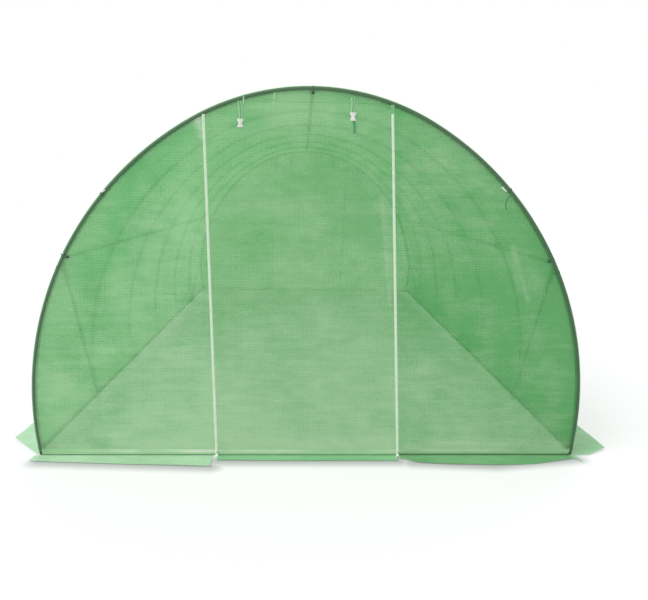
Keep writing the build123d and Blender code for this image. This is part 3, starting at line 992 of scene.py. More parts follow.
@dataclass
class Frame:
    """Hoops, rails and the bolts between them."""

    sides: int = 20
    steps: int = 132
    below: float = 0.006  # how far below the ground a hoop runs before it is cut level
    level: float = 0.0006  # height of its feet
    joints: Pair = (0.55, 1.43)  # heights of the joints where one tube is pushed into the next
    sleeve: float = 0.0136  # outside radius of a joint's wider end
    sleeve_length: float = 0.055  # its length
    lip: float = 0.0012  # how far its rims turn in to the tube
    inside: float = -0.0143  # where the rails' bolts cross them, from the tube's centre line
    rail_height: float = 0.0438  # height of the base rails' bolts
    brace_heights: Pair = (1.0176, 0.0762)  # heights of the bolts at a brace's head and foot
    sill_height: float = 0.0143  # height of the sills' bolts
    # thickness of one flattened tube end, of two, and of the sill's, under a nut
    stacks: Point = (0.0036, 0.0069, 0.0050)
    # radius below and on top, depth and place of each part of a bolt, and its sides, the place
    # measured from the tube's face or from under the flattened ends
    bolt: Rows = (
        ((0.0072, 0.0048, 0.0022), 0.0008, 14),
        ((0.0062, 0.0062, 0.0014), -0.0010, 14),
        ((0.0058, 0.0054, 0.0050), -0.0042, 6),
        ((0.0030, 0.0026, 0.0050), -0.0090, 10),
    )

    def build(self) -> None:
        """Makes the hoops, the joints and the bolts, and dresses the rails."""
        for number, y in enumerate(HOOP_YS):
            self.hoop(y).keep(ROUND_HOOPS[number], Finish.TUBE, [f"hoop_{number + 1}"])
        self.joint_sleeves().keep("hoop_joints", Finish.TUBE)
        self.bolts().keep("frame_bolts", Finish.BOLT, smooth=False)
        finishes = {
            ("ridge", "base_rail"): Finish.RAIL,
            ("purlin", "brace", "sill_front"): Finish.BAR,
            ("sill_back",): Finish.TUBE,
        }
        for name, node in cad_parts.items():
            for starts, finish in finishes.items():
                if name.startswith(starts):
                    node.data.materials.clear()
                    node.data.materials.append(finish.material())

    def swept(self, radius: float, y: float, angles: Pair, steps: int) -> Form:
        """Sweeps a round tube along the arch between two angles.

        Args:
            radius: The tube's radius.
            y: Place along the tunnel.
            angles: First and last angle.
            steps: Steps along the whole arch, of which this takes its share.

        Returns:
            The tube, open at both ends.
        """
        form = Form()
        start, end = angles
        x, z = ARCH.point(start)
        matrix = Matrix.Translation((x, y, z)) @ Matrix.Rotation(start + pi / 2, 4, "Y")
        bmesh.ops.create_circle(form.bm, segments=self.sides, radius=radius, matrix=matrix)
        edges = form.bm.edges[:]
        stops = [start, *(a for a in (-ARCH.turn, ARCH.turn) if start < a < end), end]
        full = 2 * ARCH.angle_at(0.0)
        for a, b in zip(stops, stops[1:]):
            across, up, _ = ARCH.arc((a + b) / 2)
            made = bmesh.ops.spin(
                form.bm,
                geom=edges,
                cent=(across, y, up),
                axis=(0, 1, 0),
                dvec=(0, 0, 0),
                angle=b - a,
                steps=max(1, round(steps * (b - a) / full)),
                use_merge=False,
                use_duplicate=False,
            )
            edges = [e for e in made["geom_last"] if isinstance(e, bmesh.types.BMEdge)]
        bmesh.ops.remove_doubles(form.bm, verts=form.bm.verts, dist=1e-6)
        return form

    def hoop(self, y: float) -> Form:
        """One bent tube, cut level at its feet.

        Args:
            y: Place along the tunnel.

        Returns:
            The tube.
        """
        low = ARCH.angle_at(-self.below)
        form = self.swept(TUBE_R, y, (-low, low), self.steps).cut((0, 0, self.level), (0, 0, -1))
        rim = [e for e in form.bm.edges if e.is_boundary]
        bmesh.ops.holes_fill(form.bm, edges=rim, sides=0)
        return form.outward()

    def joint_sleeves(self) -> Form:
        """The wider tube ends at the joints of the inner hoops.

        Returns:
            All of them; those of the end hoops are hidden in the film's sleeves.
        """
        form = Form()
        reach = self.sleeve_length / 2 / ARCH.side_radius
        for y in HOOP_YS[1:-1]:
            for height in self.joints:
                for side in (-1, 1):
                    middle = side * ARCH.angle_at(height)
                    span = (middle - reach, middle + reach)
                    one = self.swept(self.sleeve, y, span, 2 * self.steps)
                    rims = [e for e in one.bm.edges if e.is_boundary]
                    made = bmesh.ops.extrude_edge_only(one.bm, edges=rims)
                    for vert in made["geom"]:
                        if isinstance(vert, bmesh.types.BMVert):
                            vert.co = self.pulled_in(vert.co, y)
                    form.add(one.outward())
        return form

    def pulled_in(self, place: Vector, y: float) -> Vector:
        """Moves a place of a rim in to the tube.

        Args:
            place: The place, on a side arc.
            y: The hoop's place along the tunnel.

        Returns:
            The place, nearer to the hoop's centre line.
        """
        x, z, radius = ARCH.arc(pi / 2 if place.x > 0 else -pi / 2)
        centre = Vector((x, y, z))
        on_line = centre + (Vector((place.x, y, place.z)) - centre).normalized() * radius
        return place + (on_line - place).normalized() * self.lip

    def bolt_at(self, form: Form, place: Vector, outward: Vector, stack: float) -> None:
        """Adds one bolt: a low round head outside and a nut inside.

        Args:
            form: The form that takes it.
            place: Point on the hoop's centre line.
            outward: Direction of the head.
            stack: Thickness of the flattened ends under the nut.
        """
        turn = outward.to_track_quat("Z", "Y").to_matrix().to_4x4()
        for size, past, sides in self.bolt:
            distance = (TUBE_R if past > 0 else -TUBE_R - stack) + past
            form.drum(size, Matrix.Translation(place + outward * distance) @ turn, sides)

    def bolts(self) -> Form:
        """Every bolt between the hoops and the rails.

        Returns:
            All of them.
        """
        form = Form()
        single, double, flat = self.stacks
        rows = []
        heights = (PURLIN_HEIGHT, self.rail_height)
        inside = ARCH.grown(self.inside)
        lines = [side * inside.angle_at(height) for side in (-1, 1) for height in heights]
        for y in HOOP_YS:
            stack = single if y in (HOOP_YS[0], HOOP_YS[6]) else double
            rows += [(angle, y, stack) for angle in (0.0, *lines)]
        for end in (-1, 1):
            for side in (-1, 1):
                head, foot = (side * inside.angle_at(h) for h in self.brace_heights)
                rows += [(head, end * HOOP_YS[6], single), (foot, end * HOOP_YS[5], single)]
        for angle, y, stack in rows:
            x, z = ARCH.point(angle)
            outward = Vector((sin(angle), 0, cos(angle)))
            self.bolt_at(form, Vector((x, y, z)), outward, stack)
        x, _ = ARCH.point(ARCH.angle_at(self.sill_height))
        for end in (-1, 1):
            for side in (-1, 1):
                place = Vector((side * x, end * HOOP_YS[6], self.sill_height))
                self.bolt_at(form, place, Vector((0, end, 0)), flat)
        return form.outward()


# --- Cover ---


@dataclass
class Cover:
    """The one sheet over all the hoops."""

    step: float = 0.035  # width of the sheet's squares
    offset: float = 0.0153  # from the hoop's centre line to the film
    draw: float = 0.007  # how far the film is drawn in between two hoops
    swell: float = 0.0045  # height of its long waves across a bay
    pleat: float = 0.0035  # height of its slanting folds
    gather: float = 0.003  # height of the folds along the ground
    slack: Pair = (2.2, 2.75)  # lengths from the crown over which those folds come in

    def build(self) -> None:
        """Makes the sheet and lays it over the hoops."""
        reach = ARCH.grown(self.offset).length_to(FOOT)
        form = Form().grid((-reach, -SHEET_END), (reach, SHEET_END), self.step)
        piece = form.mark_flat().move(self.laid).keep("roof_cover", Finish.COVER, ["cover"])

    def laid(self, flat: Vector) -> Point:
        """Lays a point of the sheet over the hoops.

        Args:
            flat: Its place on the flat sheet.

        Returns:
            Its place on the hoops.
        """
        length, y = flat.x, flat.y
        bay = (y - FIRST_HOOP) / PITCH
        share = min(1.0, max(0.0, bay - floor(bay))) if 0 <= bay < 6 else 0.0
        free = 4 * share * (1 - share)
        low = soft(abs(length), *self.slack)
        lift = -self.draw * free * (1 - 0.7 * low)
        lift += free * self.swell * ripple(length * 1.5, y * 5.0, 3.0)
        lift += free * self.pleat * ripple(length * 7.0 + y * 3.0, y * 1.2, 9.0)
        lift += free * self.gather * low * ripple(length * 2.0, y * 16.0, 5.0)
        angle = ARCH.grown(self.offset).angle_along(length)
        x, z = ARCH.grown(self.offset + lift).point(angle)
        return x, y, z


# --- End walls ---


@dataclass(frozen=True)
class Seam:
    """A leaning line on the front wall."""

    foot: float  # x at the ground
    top: float  # x at the crown's height

    def x(self, height: float) -> float:
        """Place across at a height."""
        return self.foot + (self.top - self.foot) * height / CROWN

    def top_height(self) -> float:
        """Finds where the seam meets the rim by halving.

        Returns:
            The height.
        """
        low, high = 1.0, CROWN
        for _ in range(40):
            middle = (low + high) / 2
            inside = FILM.depth(self.x(middle), middle) > 0
            low, high = (middle, high) if inside else (low, middle)
        return low

    def trim(self, form: Form, shift: float, side: int) -> None:
        """Cuts a flat form along a line beside the seam.

        Args:
            form: The form.
            shift: How far to the right of the seam the cut is.
            side: Side that is cut away, 1 for the right one.
        """
        lean = self.top - self.foot
        form.cut((self.foot + shift, 0, 0), (side * CROWN, -side * lean, 0))


LEFT_ZIP = Seam(-0.503, -0.577)
RIGHT_ZIP = Seam(0.489, 0.416)


def wall_lift(x: float, z: float) -> float:
    """How far the end wall's film stands out at a place.

    Args:
        x: Place across, seen from outside.
        z: Height.

    Returns:
        Distance outwards.
    """
    # the film is held along its rim and its foot, and its folds slant down to both sides
    free = soft(FILM.depth(x, z), 0.02, 0.22) * soft(z, 0.02, 0.25)
    lift = 0.005 * ripple(x * 1.1, z * 1.3, 1.0) + 0.002
    slant = x * 0.72 + z * 0.70 if x < 0 else x * 0.72 - z * 0.70
    along = x * 0.70 - z * 0.72 if x < 0 else x * 0.70 + z * 0.72
    side = soft(abs(x), 0.45, 0.9)
    lift += side * 0.0032 * ripple(slant * 1.2, along * 8.0, 4.0)
    lift += (1 - side) * 0.0022 * ripple(x * 1.6, z * 5.0, 6.0)
    lift += soft(0.8 - z, 0.0, 0.6) * 0.0016 * ripple(x * 2.0, z * 24.0, 8.0)
    return free * lift


def on_wall(x: float, z: float, proud: float) -> Point:
    """Place a given distance in front of the front wall's film."""
    return x, -END_Y - proud - wall_lift(x, z), z


@dataclass
class EndPart:
    """Something that is made at the front and turned to its own end."""

    end: End

    def keep(
        self, form: Form, name: str, finish: Finish, *nodes: str, smooth: bool = True
    ) -> Piece:
        """Turns a form to its end and keeps it.

        Args:
            form: The form, at the front.
            name: The piece's name, with {} for the end's.
            finish: Its finish.
            nodes: CAD nodes that it replaces, named in the same way.
            smooth: Whether its faces are shaded smooth.

        Returns:
            The piece.
        """
        tag = self.end.value
        names = [node.format(tag) for node in nodes]
        return form.turn(self.end.turn).keep(name.format(tag), finish, names, smooth)


@dataclass
class EndWall(EndPart):
    """Film panels, hem and sleeve that close one end."""

    step: float = 0.018  # width of the film's squares
    gap: float = 0.0062  # half the strip between two panels, under a zip
    inset: float = 0.0005  # how far inside the wall's outer face the panels lie
    cuts: int = 75  # cuts along half the rim
    sleeve_radius: float = 0.0129
    sleeve_foot: float = 0.004  # height of its feet
    sleeve_map: Pair = (0.5, 1.7)  # height of the middle and radius of its weave's arch
    zip_half: float = 0.0085  # half the width that a zip takes from the hem
    hem_step: float = 0.014  # width of the hem's squares, with the hem one unit high
    hem_ends: Pair = (-0.62, 0.50)  # where the hem's grid ends across
    hem_depth: float = 0.035  # how far the hem reaches in from the rim
    hem_height: float = 1.908  # level lower edge of the hem
    hem_proud: float = 0.0021  # how far the hem stands out of the wall's outer face
    stitches: int = 150  # how many stitches the hem has
    stitch: Point = (0.0046, 0.0006, 0.0008)  # size of one
    stitch_rise: float = 0.0025  # height of the stitches over the hem's edge
    stitch_proud: float = 0.0026  # how far they stand out
    sewn: Pair = (-0.555, 0.965)  # first stitch's place and the row's length

    def build(self) -> None:
        """Makes every piece of the end wall."""
        whole = Form().grid((-HALF_WIDTH, FOOT), (HALF_WIDTH, CROWN), self.step)
        self.keep(self.sleeve(), "film_{}_sleeve", Finish.SLEEVE)
        whole, gap = self.trimmed(whole), self.gap
        left = self.panel(whole, (LEFT_ZIP, -gap, 1))
        right = self.panel(whole, (RIGHT_ZIP, gap, -1))
        door = self.panel(whole, (LEFT_ZIP, gap, -1), (RIGHT_ZIP, -gap, 1))
        left = self.keep(left, "film_{}_left", Finish.WALL_LEFT, "wall_{}_left")
        right = self.keep(right, "film_{}_right", Finish.WALL_RIGHT, "wall_{}_right")
        hem = self.keep(self.hem(), "film_{}_hem", Finish.HEM, "hem_{}")
        door = self.keep(door, "film_{}_door", Finish.WALL_DOOR, "door_{}")
        stitches = Form().row(self.stitch, self.stitch_places())
        sewn = self.keep(stitches, "hem_stitches_{}", Finish.HEM_THREAD, smooth=False)
        self.declare(door, [hem, sewn])
        self.declare(left, [])
        self.declare(right, [])

    def declare(self, piece: Piece, extra: list[Piece]) -> None:
        """Measures a panel's width, height and area.

        Args:
            piece: The panel.
            extra: Not used.
        """
        corners = [piece.matrix_world @ Vector(c) for c in piece.bound_box]
        width = max(c.x for c in corners) - min(c.x for c in corners)
        height = max(c.z for c in corners) - min(c.z for c in corners)
        flat = (round(width, 3), round(height, 3))
        area = round(min(area_of(piece), flat[0] * flat[1]), 3)

    def trimmed(self, form: Form) -> Form:
        """Cuts a flat form to the arch, whose outline bulges everywhere.

        Args:
            form: The form.

        Returns:
            The form, cut.
        """
        low = RIM.angle_at(FOOT)
        for i in range(-self.cuts, self.cuts + 1):
            angle = low * i / self.cuts
            x, z = RIM.point(angle)
            form.cut((x, z, 0), (sin(angle), cos(angle), 0))
        return form

    def panel(self, whole: Form, *sides: tuple[Seam, float, int]) -> Form:
        """Cuts the part of the wall that lies inside some seams.

        Args:
            whole: The whole wall, still flat.
            sides: Each seam with its shift and the side that is cut away.

        Returns:
            The panel, stood up in the wall.
        """
        form = whole.copy()
        for seam, shift, side in sides:
            seam.trim(form, shift, side)
        return form.mark_flat().move(lambda p: on_wall(p.x, p.y, -self.inset))

    def sleeve(self) -> Form:
        """Doubled film drawn tight round the end hoop.

        Returns:
            The sleeve, open at its feet.
        """
        low = ARCH.angle_at(self.sleeve_foot)
        middle, radius = self.sleeve_map
        form = Frame().swept(self.sleeve_radius, FIRST_HOOP, (-low, low), Frame.steps)
        for face in form.bm.faces:
            for loop in face.loops:
                place = loop.vert.co
                length = atan2(place.x, place.z - middle) * radius
                loop[form.flat].uv = (place.y - FIRST_HOOP + self.sleeve_radius, length)
        return form.outward()

    def hem_edges(self, x: float) -> Pair:
        """Heights of the hem's lower and upper edge at a place across."""
        high = RIM.crown_height + (RIM.crown_radius**2 - x**2) ** 0.5
        return min(self.hem_height, high + INNER + OUTER - self.hem_depth), high

    def hem(self) -> Form:
        """Doubled film along the rim over the door, with a level lower edge.

        Returns:
            The band.
        """

        def band(p: Vector) -> Point:
            """Brings a point of the grid between the hem's edges."""
            low, high = self.hem_edges(p.x)
            return p.x, low + (high - low) * p.y, 0.0

        start, end = self.hem_ends
        form = Form().grid((start, 0.0), (end, 1.0), self.hem_step).move(band)
        LEFT_ZIP.trim(form, self.zip_half, -1)
        RIGHT_ZIP.trim(form, -self.zip_half, 1)
        return form.mark_flat().move(lambda p: on_wall(p.x, p.y, self.hem_proud))

    def stitch_places(self) -> Iterable[Point]:
        """Places the stitches along the hem's lower edge.

        Returns:
            The stitches' middles.
        """
        start, length = self.sewn
        for i in range(self.stitches):
            x = start + length * (i + 0.5) / self.stitches
            yield on_wall(x, self.hem_edges(x)[0] + self.stitch_rise, self.stitch_proud)


@dataclass
class Zips(EndPart):
    """Tapes, teeth, sewing and sliders of both zips of one end."""

    # each zip's seam, its name and how far under the rim it ends
    rows: Rows = ((LEFT_ZIP, "left", 0.024), (RIGHT_ZIP, "right", 0.072))
    clear: float = 0.024  # how far under the rim its seam ends
    hinge: float = 0.004  # height at which a zip turns out along the ground
    slope: float = 0.04  # how steeply it rises out there
    drift: float = 0.25  # how far it goes to the side out there, as a share of its length
    tape: Pair = (0.0075, 0.0011)  # half the tape's width, and how far it stands out
    tape_end: Pair = (0.0100, 0.0009)  # the same for the seam's end
    step: float = 0.005  # width of the tape's squares
    over: float = 0.030  # how far the tape runs out along the ground
    laid: float = 0.0024  # how high it lies there
    first: float = 0.03  # height of the first tooth
    pitch: float = 0.0032  # distance between teeth
    tooth: Point = (0.0046, 0.0017, 0.0019)  # size of a tooth
    apart: float = 0.0007  # how far the teeth stand to either side
    teeth_proud: float = 0.0019  # how far they stand out
    thread: Point = (0.0006, 0.0005, 0.0040)  # size of a stitch
    thread_first: float = 0.008  # height of the first one
    thread_pitch: float = 0.0062  # distance between stitches
    thread_row: float = 0.0059  # distance of their rows from the middle
    thread_proud: float = 0.0014  # how far they stand out
    slider: Point = (0.011, 0.0055, 0.016)  # size of a slider's body
    slider_place: Pair = (0.022, 0.0049)  # height of its middle, and how far it stands out
    taper: float = 0.62  # its width below, as a share of that on top
    bail: Point = (0.0042, 0.0022, 0.0095)  # size of its bail
    bail_place: Pair = (0.0015, 0.0082)  # its height over the slider's, and how far it stands out
    tag: Point = (0.0062, 0.024, 0.0018)  # size of the tag that lies on the ground
    tag_place: Point = (0.004, 0.0062, 0.2)  # its shift from the seam, height and turn

    def build(self) -> None:
        """Makes both zips, their sliders and the one tag."""
        for seam, side, bare in self.rows:
            end = seam.top_height() - self.clear
            top = seam.top_height() - bare
            tape = self.strip(seam, -self.over, top, *self.tape)
            self.keep(tape, "zip_tape_{}_" + side, Finish.TAPE, "zip_{}_" + side)
            teeth = Form().row(self.tooth, self.teeth_places(seam, top))
            self.keep(teeth, "zip_teeth_{}_" + side, Finish.TEETH, smooth=False)
            if bare > self.clear:
                bar = self.strip(seam, top, end, *self.tape_end)
                self.keep(bar, "zip_end_{}_" + side, Finish.TAPE_END)
            thread = Form().row(self.thread, self.thread_places(seam, top))
            self.keep(thread, "zip_sewing_{}_" + side, Finish.THREAD, smooth=False)
        sliders = Form()
        for seam, _, _ in self.rows:
            self.slider_at(sliders, seam)
        self.keep(sliders, "zip_sliders_{}", Finish.SLIDER, "zip_pulls_{}")
        shift, height, turn = self.tag_place
        x, y, _ = self.on_seam(RIGHT_ZIP, shift, -self.over, 0.0)
        place = Matrix.Translation((x, y, height)) @ Matrix.Rotation(turn, 4, "Z")
        self.keep(Form().block(self.tag, place, 0.0007), "zip_tag_{}", Finish.TAG)

    def on_seam(self, seam: Seam, shift: float, z: float, proud: float) -> Point:
        """Finds a place beside a seam.

        Args:
            seam: The seam.
            shift: How far to its right.
            z: Height on the wall, or below 0 how far out along the ground.
            proud: How far in front of the wall.

        Returns:
            The place.
        """
        x, past = seam.x(z) + shift, self.hinge - z
        if past > 0:
            return x + z * self.drift, -END_Y - proud - past, self.laid + self.slope * past
        return on_wall(x, z, proud)

    def strip(self, seam: Seam, low: float, high: float, half: float, proud: float) -> Form:
        """Makes a strip of tape along a seam.

        Args:
            seam: The seam.
            low: Its lower end.
            high: Its upper end.
            half: Half its width.
            proud: How far in front of the wall it lies.

        Returns:
            The strip.
        """
        form = Form().grid((-half, low), (half, high), self.step).mark_flat()
        return form.move(lambda p: self.on_seam(seam, p.x, p.y, proud))

    def teeth_places(self, seam: Seam, top: float) -> Iterable[Point]:
        """Places a zip's teeth, to either side in turn.

        Args:
            seam: The zip's seam.
            top: Height of its upper end.

        Returns:
            The teeth's middles.
        """
        for i in range(int((top - self.first) / self.pitch)):
            shift = self.apart if i % 2 else -self.apart
            yield self.on_seam(seam, shift, self.first + self.pitch * i, self.teeth_proud)

    def thread_places(self, seam: Seam, top: float) -> Iterable[Point]:
        """Places the stitches along both edges of a tape.

        Args:
            seam: The zip's seam.
            top: Height of the tape's upper end.

        Returns:
            The stitches' middles.
        """
        for row in (-self.thread_row, self.thread_row):
            for i in range(int(top / self.thread_pitch)):
                z = min(self.thread_first + self.thread_pitch * i, top - 0.004)
                yield self.on_seam(seam, row, z, self.thread_proud)

    def slider_at(self, form: Form, seam: Seam) -> None:
        """Adds one slider with its bail, at the foot of a zip.

        Args:
            form: The form that takes it.
            seam: The zip's seam.
        """
        height, out = self.slider_place
        over, past = self.bail_place
        x, y, z = self.on_seam(seam, 0.0, height, 0.0)
        body = Form().block(self.slider, Matrix.Identity(4))
        body.move(lambda p: (p.x * self.taper if p.z < 0 else p.x, p.y, p.z))
        body.bevel(body.bm.edges[:], 0.0012)
        form.add(body.turn(Matrix.Translation((x, y - out, z))))
        place = Matrix.Translation((x, y - past, z + over))
        form.add(Form().block(self.bail, place, 0.0009))


@dataclass
class Straps(EndPart):
    """Straps, buckles and white loops that hang from the hem of one end."""

    half: float = 0.008  # half the webbing's width
    thick: float = 0.0013  # its thickness
    step: float = 0.004  # width of its squares
    proud: Pair = (0.0031, 0.0015)  # how far it stands out on top, and how much more below
    wave: float = 0.0016  # how far it waves to the side
    narrow: float = 0.12  # how much narrower its lower end looks, where it turns edge on
    # middle, lower and upper end of both straps, and how far each sways
    hung: Rows = ((-0.384, 1.8203, 1.914, 0.010), (0.209, 1.8623, 1.940, 0.003))
    tail: tuple[float, ...] = (0.216, 1.753, 1.8177, 0.006)  # the same for the loose tail
    buckles: Rows = ((-0.378, 1.820), (0.212, 1.862))  # middle and upper end of both
    # a buckle's half width, half waist, half height and thickness
    plug: tuple[float, ...] = (0.0155, 0.009, 0.022, 0.0076)
    plug_proud: float = 0.0005  # how far its back stands out of the film
    # middle, lower and upper end of the loops
    loops: Rows = ((-0.362, 1.897, 1.936), (-0.201, 1.926, 1.957), (-0.203, 1.901, 1.914))
    loop: Pair = (0.0062, 0.0012)  # width and thickness of a loop
    loop_place: Pair = (0.0034, 0.05)  # how far a loop stands out, and its lean

    def build(self) -> None:
        """Makes the straps, the tail, the buckles and the loops."""
        webbing, buckles, loops = Form(), Form(), Form()
        for row in self.hung:
            webbing.add(self.strap(*row))
        self.keep(webbing, "straps_{}", Finish.STRAP, "door_straps_{}")
        self.keep(self.strap(*self.tail), "strap_tail_{}", Finish.TAIL)
        for x, top in self.buckles:
            buckles.add(self.buckle(x, top))
        self.keep(buckles, "buckles_{}", Finish.BUCKLE, "door_buckles_{}")
        (wide, thick), (proud, lean) = self.loop, self.loop_place
        for x, low, high in self.loops:
            y = on_wall(x, low, proud)[1]
            place = Matrix.Translation((x, y, (low + high) / 2)) @ Matrix.Rotation(lean, 4, "Y")
            loops.block((wide, thick, high - low), place, 0.0004)
        self.keep(loops, "hem_loops_{}", Finish.LOOP)

    def strap(self, x: float, low: float, high: float, sway: float) -> Form:
        """Makes one length of webbing.

        Args:
            x: Place of its middle, at its upper end.
            low: Height of its lower end.
            high: Height of its upper end.
            sway: How far its lower end hangs to the right.

        Returns:
            The webbing.
        """

        def hung(p: Vector) -> Point:
            """Hangs the strap.

            Args:
                p: A point of the flat strap.

            Returns:
                Where it hangs.
            """
            fall = (high - p.y) / (high - low)
            wave = self.wave * sin(fall * 5.0)
            top, more = self.proud
            y = -END_Y - top - more * fall + p.z - wall_lift(x, p.y) + wave * 0.3
            return x + p.x * (1 - self.narrow * fall) + sway * fall + wave, y, p.y

        form = Form().grid((-self.half, low), (self.half, high), self.step).mark_flat()
        bmesh.ops.solidify(form.bm, geom=form.bm.faces[:], thickness=self.thick)
        return form.move(hung)

    def buckle(self, x: float, top: float) -> Form:
        """Makes one side-release buckle.

        Args:
            x: Place of its middle.
            top: Height of its upper end.

        Returns:
            The buckle.
        """
        half, waist, end, thick = self.plug
        form = Form()
        right = [(half, end), (half, end / 2), (waist, end / 6), (waist, -end / 4)]
        right += [(half, -3 * end / 4), (half, -end)]
        corners = right + [(-a, b) for a, b in reversed(right)]
        face = form.bm.faces.new([form.bm.verts.new((a, 0.0, b)) for a, b in corners])
        made = bmesh.ops.extrude_face_region(form.bm, geom=[face])
        moved = [v for v in made["geom"] if isinstance(v, bmesh.types.BMVert)]
        bmesh.ops.translate(form.bm, verts=moved, vec=(0, -thick, 0))
        form.outward().bevel(form.bm.edges[:], 0.0013)
        return form.turn(Matrix.Translation((x, on_wall(x, top, self.plug_proud)[1], top - end)))


# --- Skirts ---


@dataclass
class Skirts:
    """Film laid out on the ground all round."""

    step: float = 0.024  # width of the side skirts' squares
    end_step: float = 0.016  # width of the squares in front of the ends
    foot: float = 1.4664  # how far out the cover stands at the ground
    reach: float = 0.2285  # how far out the side skirts reach when flat
    # where a side skirt's slanting cuts start, their slope, and at which end each is
    slants: Rows = ((0.0, 1.0, 1), (0.1, 0.65, -1))
    low_rise: Pair = (0.0026, 0.0022)  # height of the film at the wall, at the sides and ends
    least: float = 0.0012  # least height over the ground
    # places across of the outer edge of each end skirt, with its depth there
    left: Rows = ((-1.486, 0.084), (-0.95, 0.124), (-0.522, 0.148))
    door: Rows = ((-0.497, 0.073), (-0.007, 0.080), (0.483, 0.075))
    right: Rows = (
        *((0.495, 0.050), (0.594, 0.104), (0.75, 0.124), (0.99, 0.134)),
        *((1.12, 0.128), (1.238, 0.110), (1.466, 0.041), (1.486, 0.108)),
    )

    def build(self) -> None:
        """Makes the eight skirts."""
        for side in Side:
            self.side_skirt(side)
        for end in End:
            # the left skirts take the painted lighter copy, the door's the copy painted in between,
            # the right ones the darker one
            self.end_skirt(end, "left", Finish.PALE_SKIRT, self.left)
            self.end_skirt(end, "door", Finish.DOOR_SKIRT, self.door)
            self.end_skirt(end, "right", Finish.SKIRT, self.right)

    def side_skirt(self, side: Side) -> None:
        """Makes the film along one side, cut at a slant at its ends.

        Args:
            side: Which side.
        """
        flip, name = side.value, side.name.lower()
        form = Form().grid((0.0, -COVER_END), (self.reach, COVER_END), self.step)
        for x, across, end in self.slants:
            form.cut((x, end * COVER_END * flip, 0), (across, end * flip, 0))

        def laid(p: Vector) -> Point:
            """Lays the skirt out.

            Args:
                p: A point of the flat skirt.

            Returns:
                Where it lies.
            """
            out = p.x / self.reach
            tip = soft(abs(p.y), 2.55, 2.85) * out * out
            wave = 0.5 + ripple(p.x * 4, p.y * 3.0, 2.0 * flip)
            rise = self.low_rise[0] + 0.006 * out * wave + 0.010 * tip
            edge = 0.012 * out * ripple(p.y * 1.4, 0.0, 7.0)
            x = flip * (self.foot + p.x * 0.985 + edge - 0.004 * out)
            return x, p.y, max(self.least, rise)

        form.mark_flat().move(laid)
        if side is Side.LEFT:
            bmesh.ops.reverse_faces(form.bm, faces=form.bm.faces)
        # the left side skirt takes the painted lighter copy, the right one the darker
        finish = Finish.PALE_SKIRT if side is Side.LEFT else Finish.SKIRT
        piece = form.keep(f"ground_skirt_{name}", finish, [f"skirt_{name}"])
        flat = (self.reach, 2 * COVER_END)
        area = min(round(area_of(piece), 3), flat[0] * flat[1])

    def end_skirt(self, end: End, name: str, finish: Finish, edge: Rows) -> None:
        """Makes the film in front of one part of an end.

        Args:
            end: Which end.
            name: Which of the three skirts.
            finish: Its finish.
            edge: Places across of its outer edge, each with its depth.
        """
        low, high = edge[0][0], edge[-1][0]

        def depth_at(x: float) -> float:
            """Finds the skirt's depth.

            Args:
                x: Place across.

            Returns:
                The depth there.
            """
            for (x0, d0), (x1, d1) in zip(edge, edge[1:]):
                if x <= x1:
                    return d0 + (d1 - d0) * (x - x0) / (x1 - x0)
            return edge[-1][1]

        def laid(p: Vector) -> Point:
            """Lays the skirt out.

            Args:
                p: A point of the flat skirt.

            Returns:
                Where it lies.
            """
            out = p.y / depth_at(p.x)
            wave = 0.5 + ripple(p.x * 3.0, p.y * 8.0, low * 5)
            rise = self.low_rise[1] + 0.003 * out**1.5 * wave + 0.001 * out
            edge_wave = 0.004 * out * ripple(p.x * 2.3, 0.5, high * 3)
            return p.x, -END_Y + 0.003 - p.y - edge_wave, max(self.least, rise)

        form = Form().grid((low, 0.0), (high, 1.0), self.end_step)
        form.move(lambda p: (p.x, p.y * depth_at(p.x), 0.0)).mark_flat().move(laid)
        bmesh.ops.reverse_faces(form.bm, faces=form.bm.faces)
        node = f"skirt_{end.value}_{name}"
        piece = form.turn(end.turn).keep(f"ground_{node}", finish, [node])
        flat = (round(high - low, 4), round(max(depth for _, depth in edge), 4))
        area = min(round(area_of(piece), 5), flat[0] * flat[1])


# --- Ties and caps ---


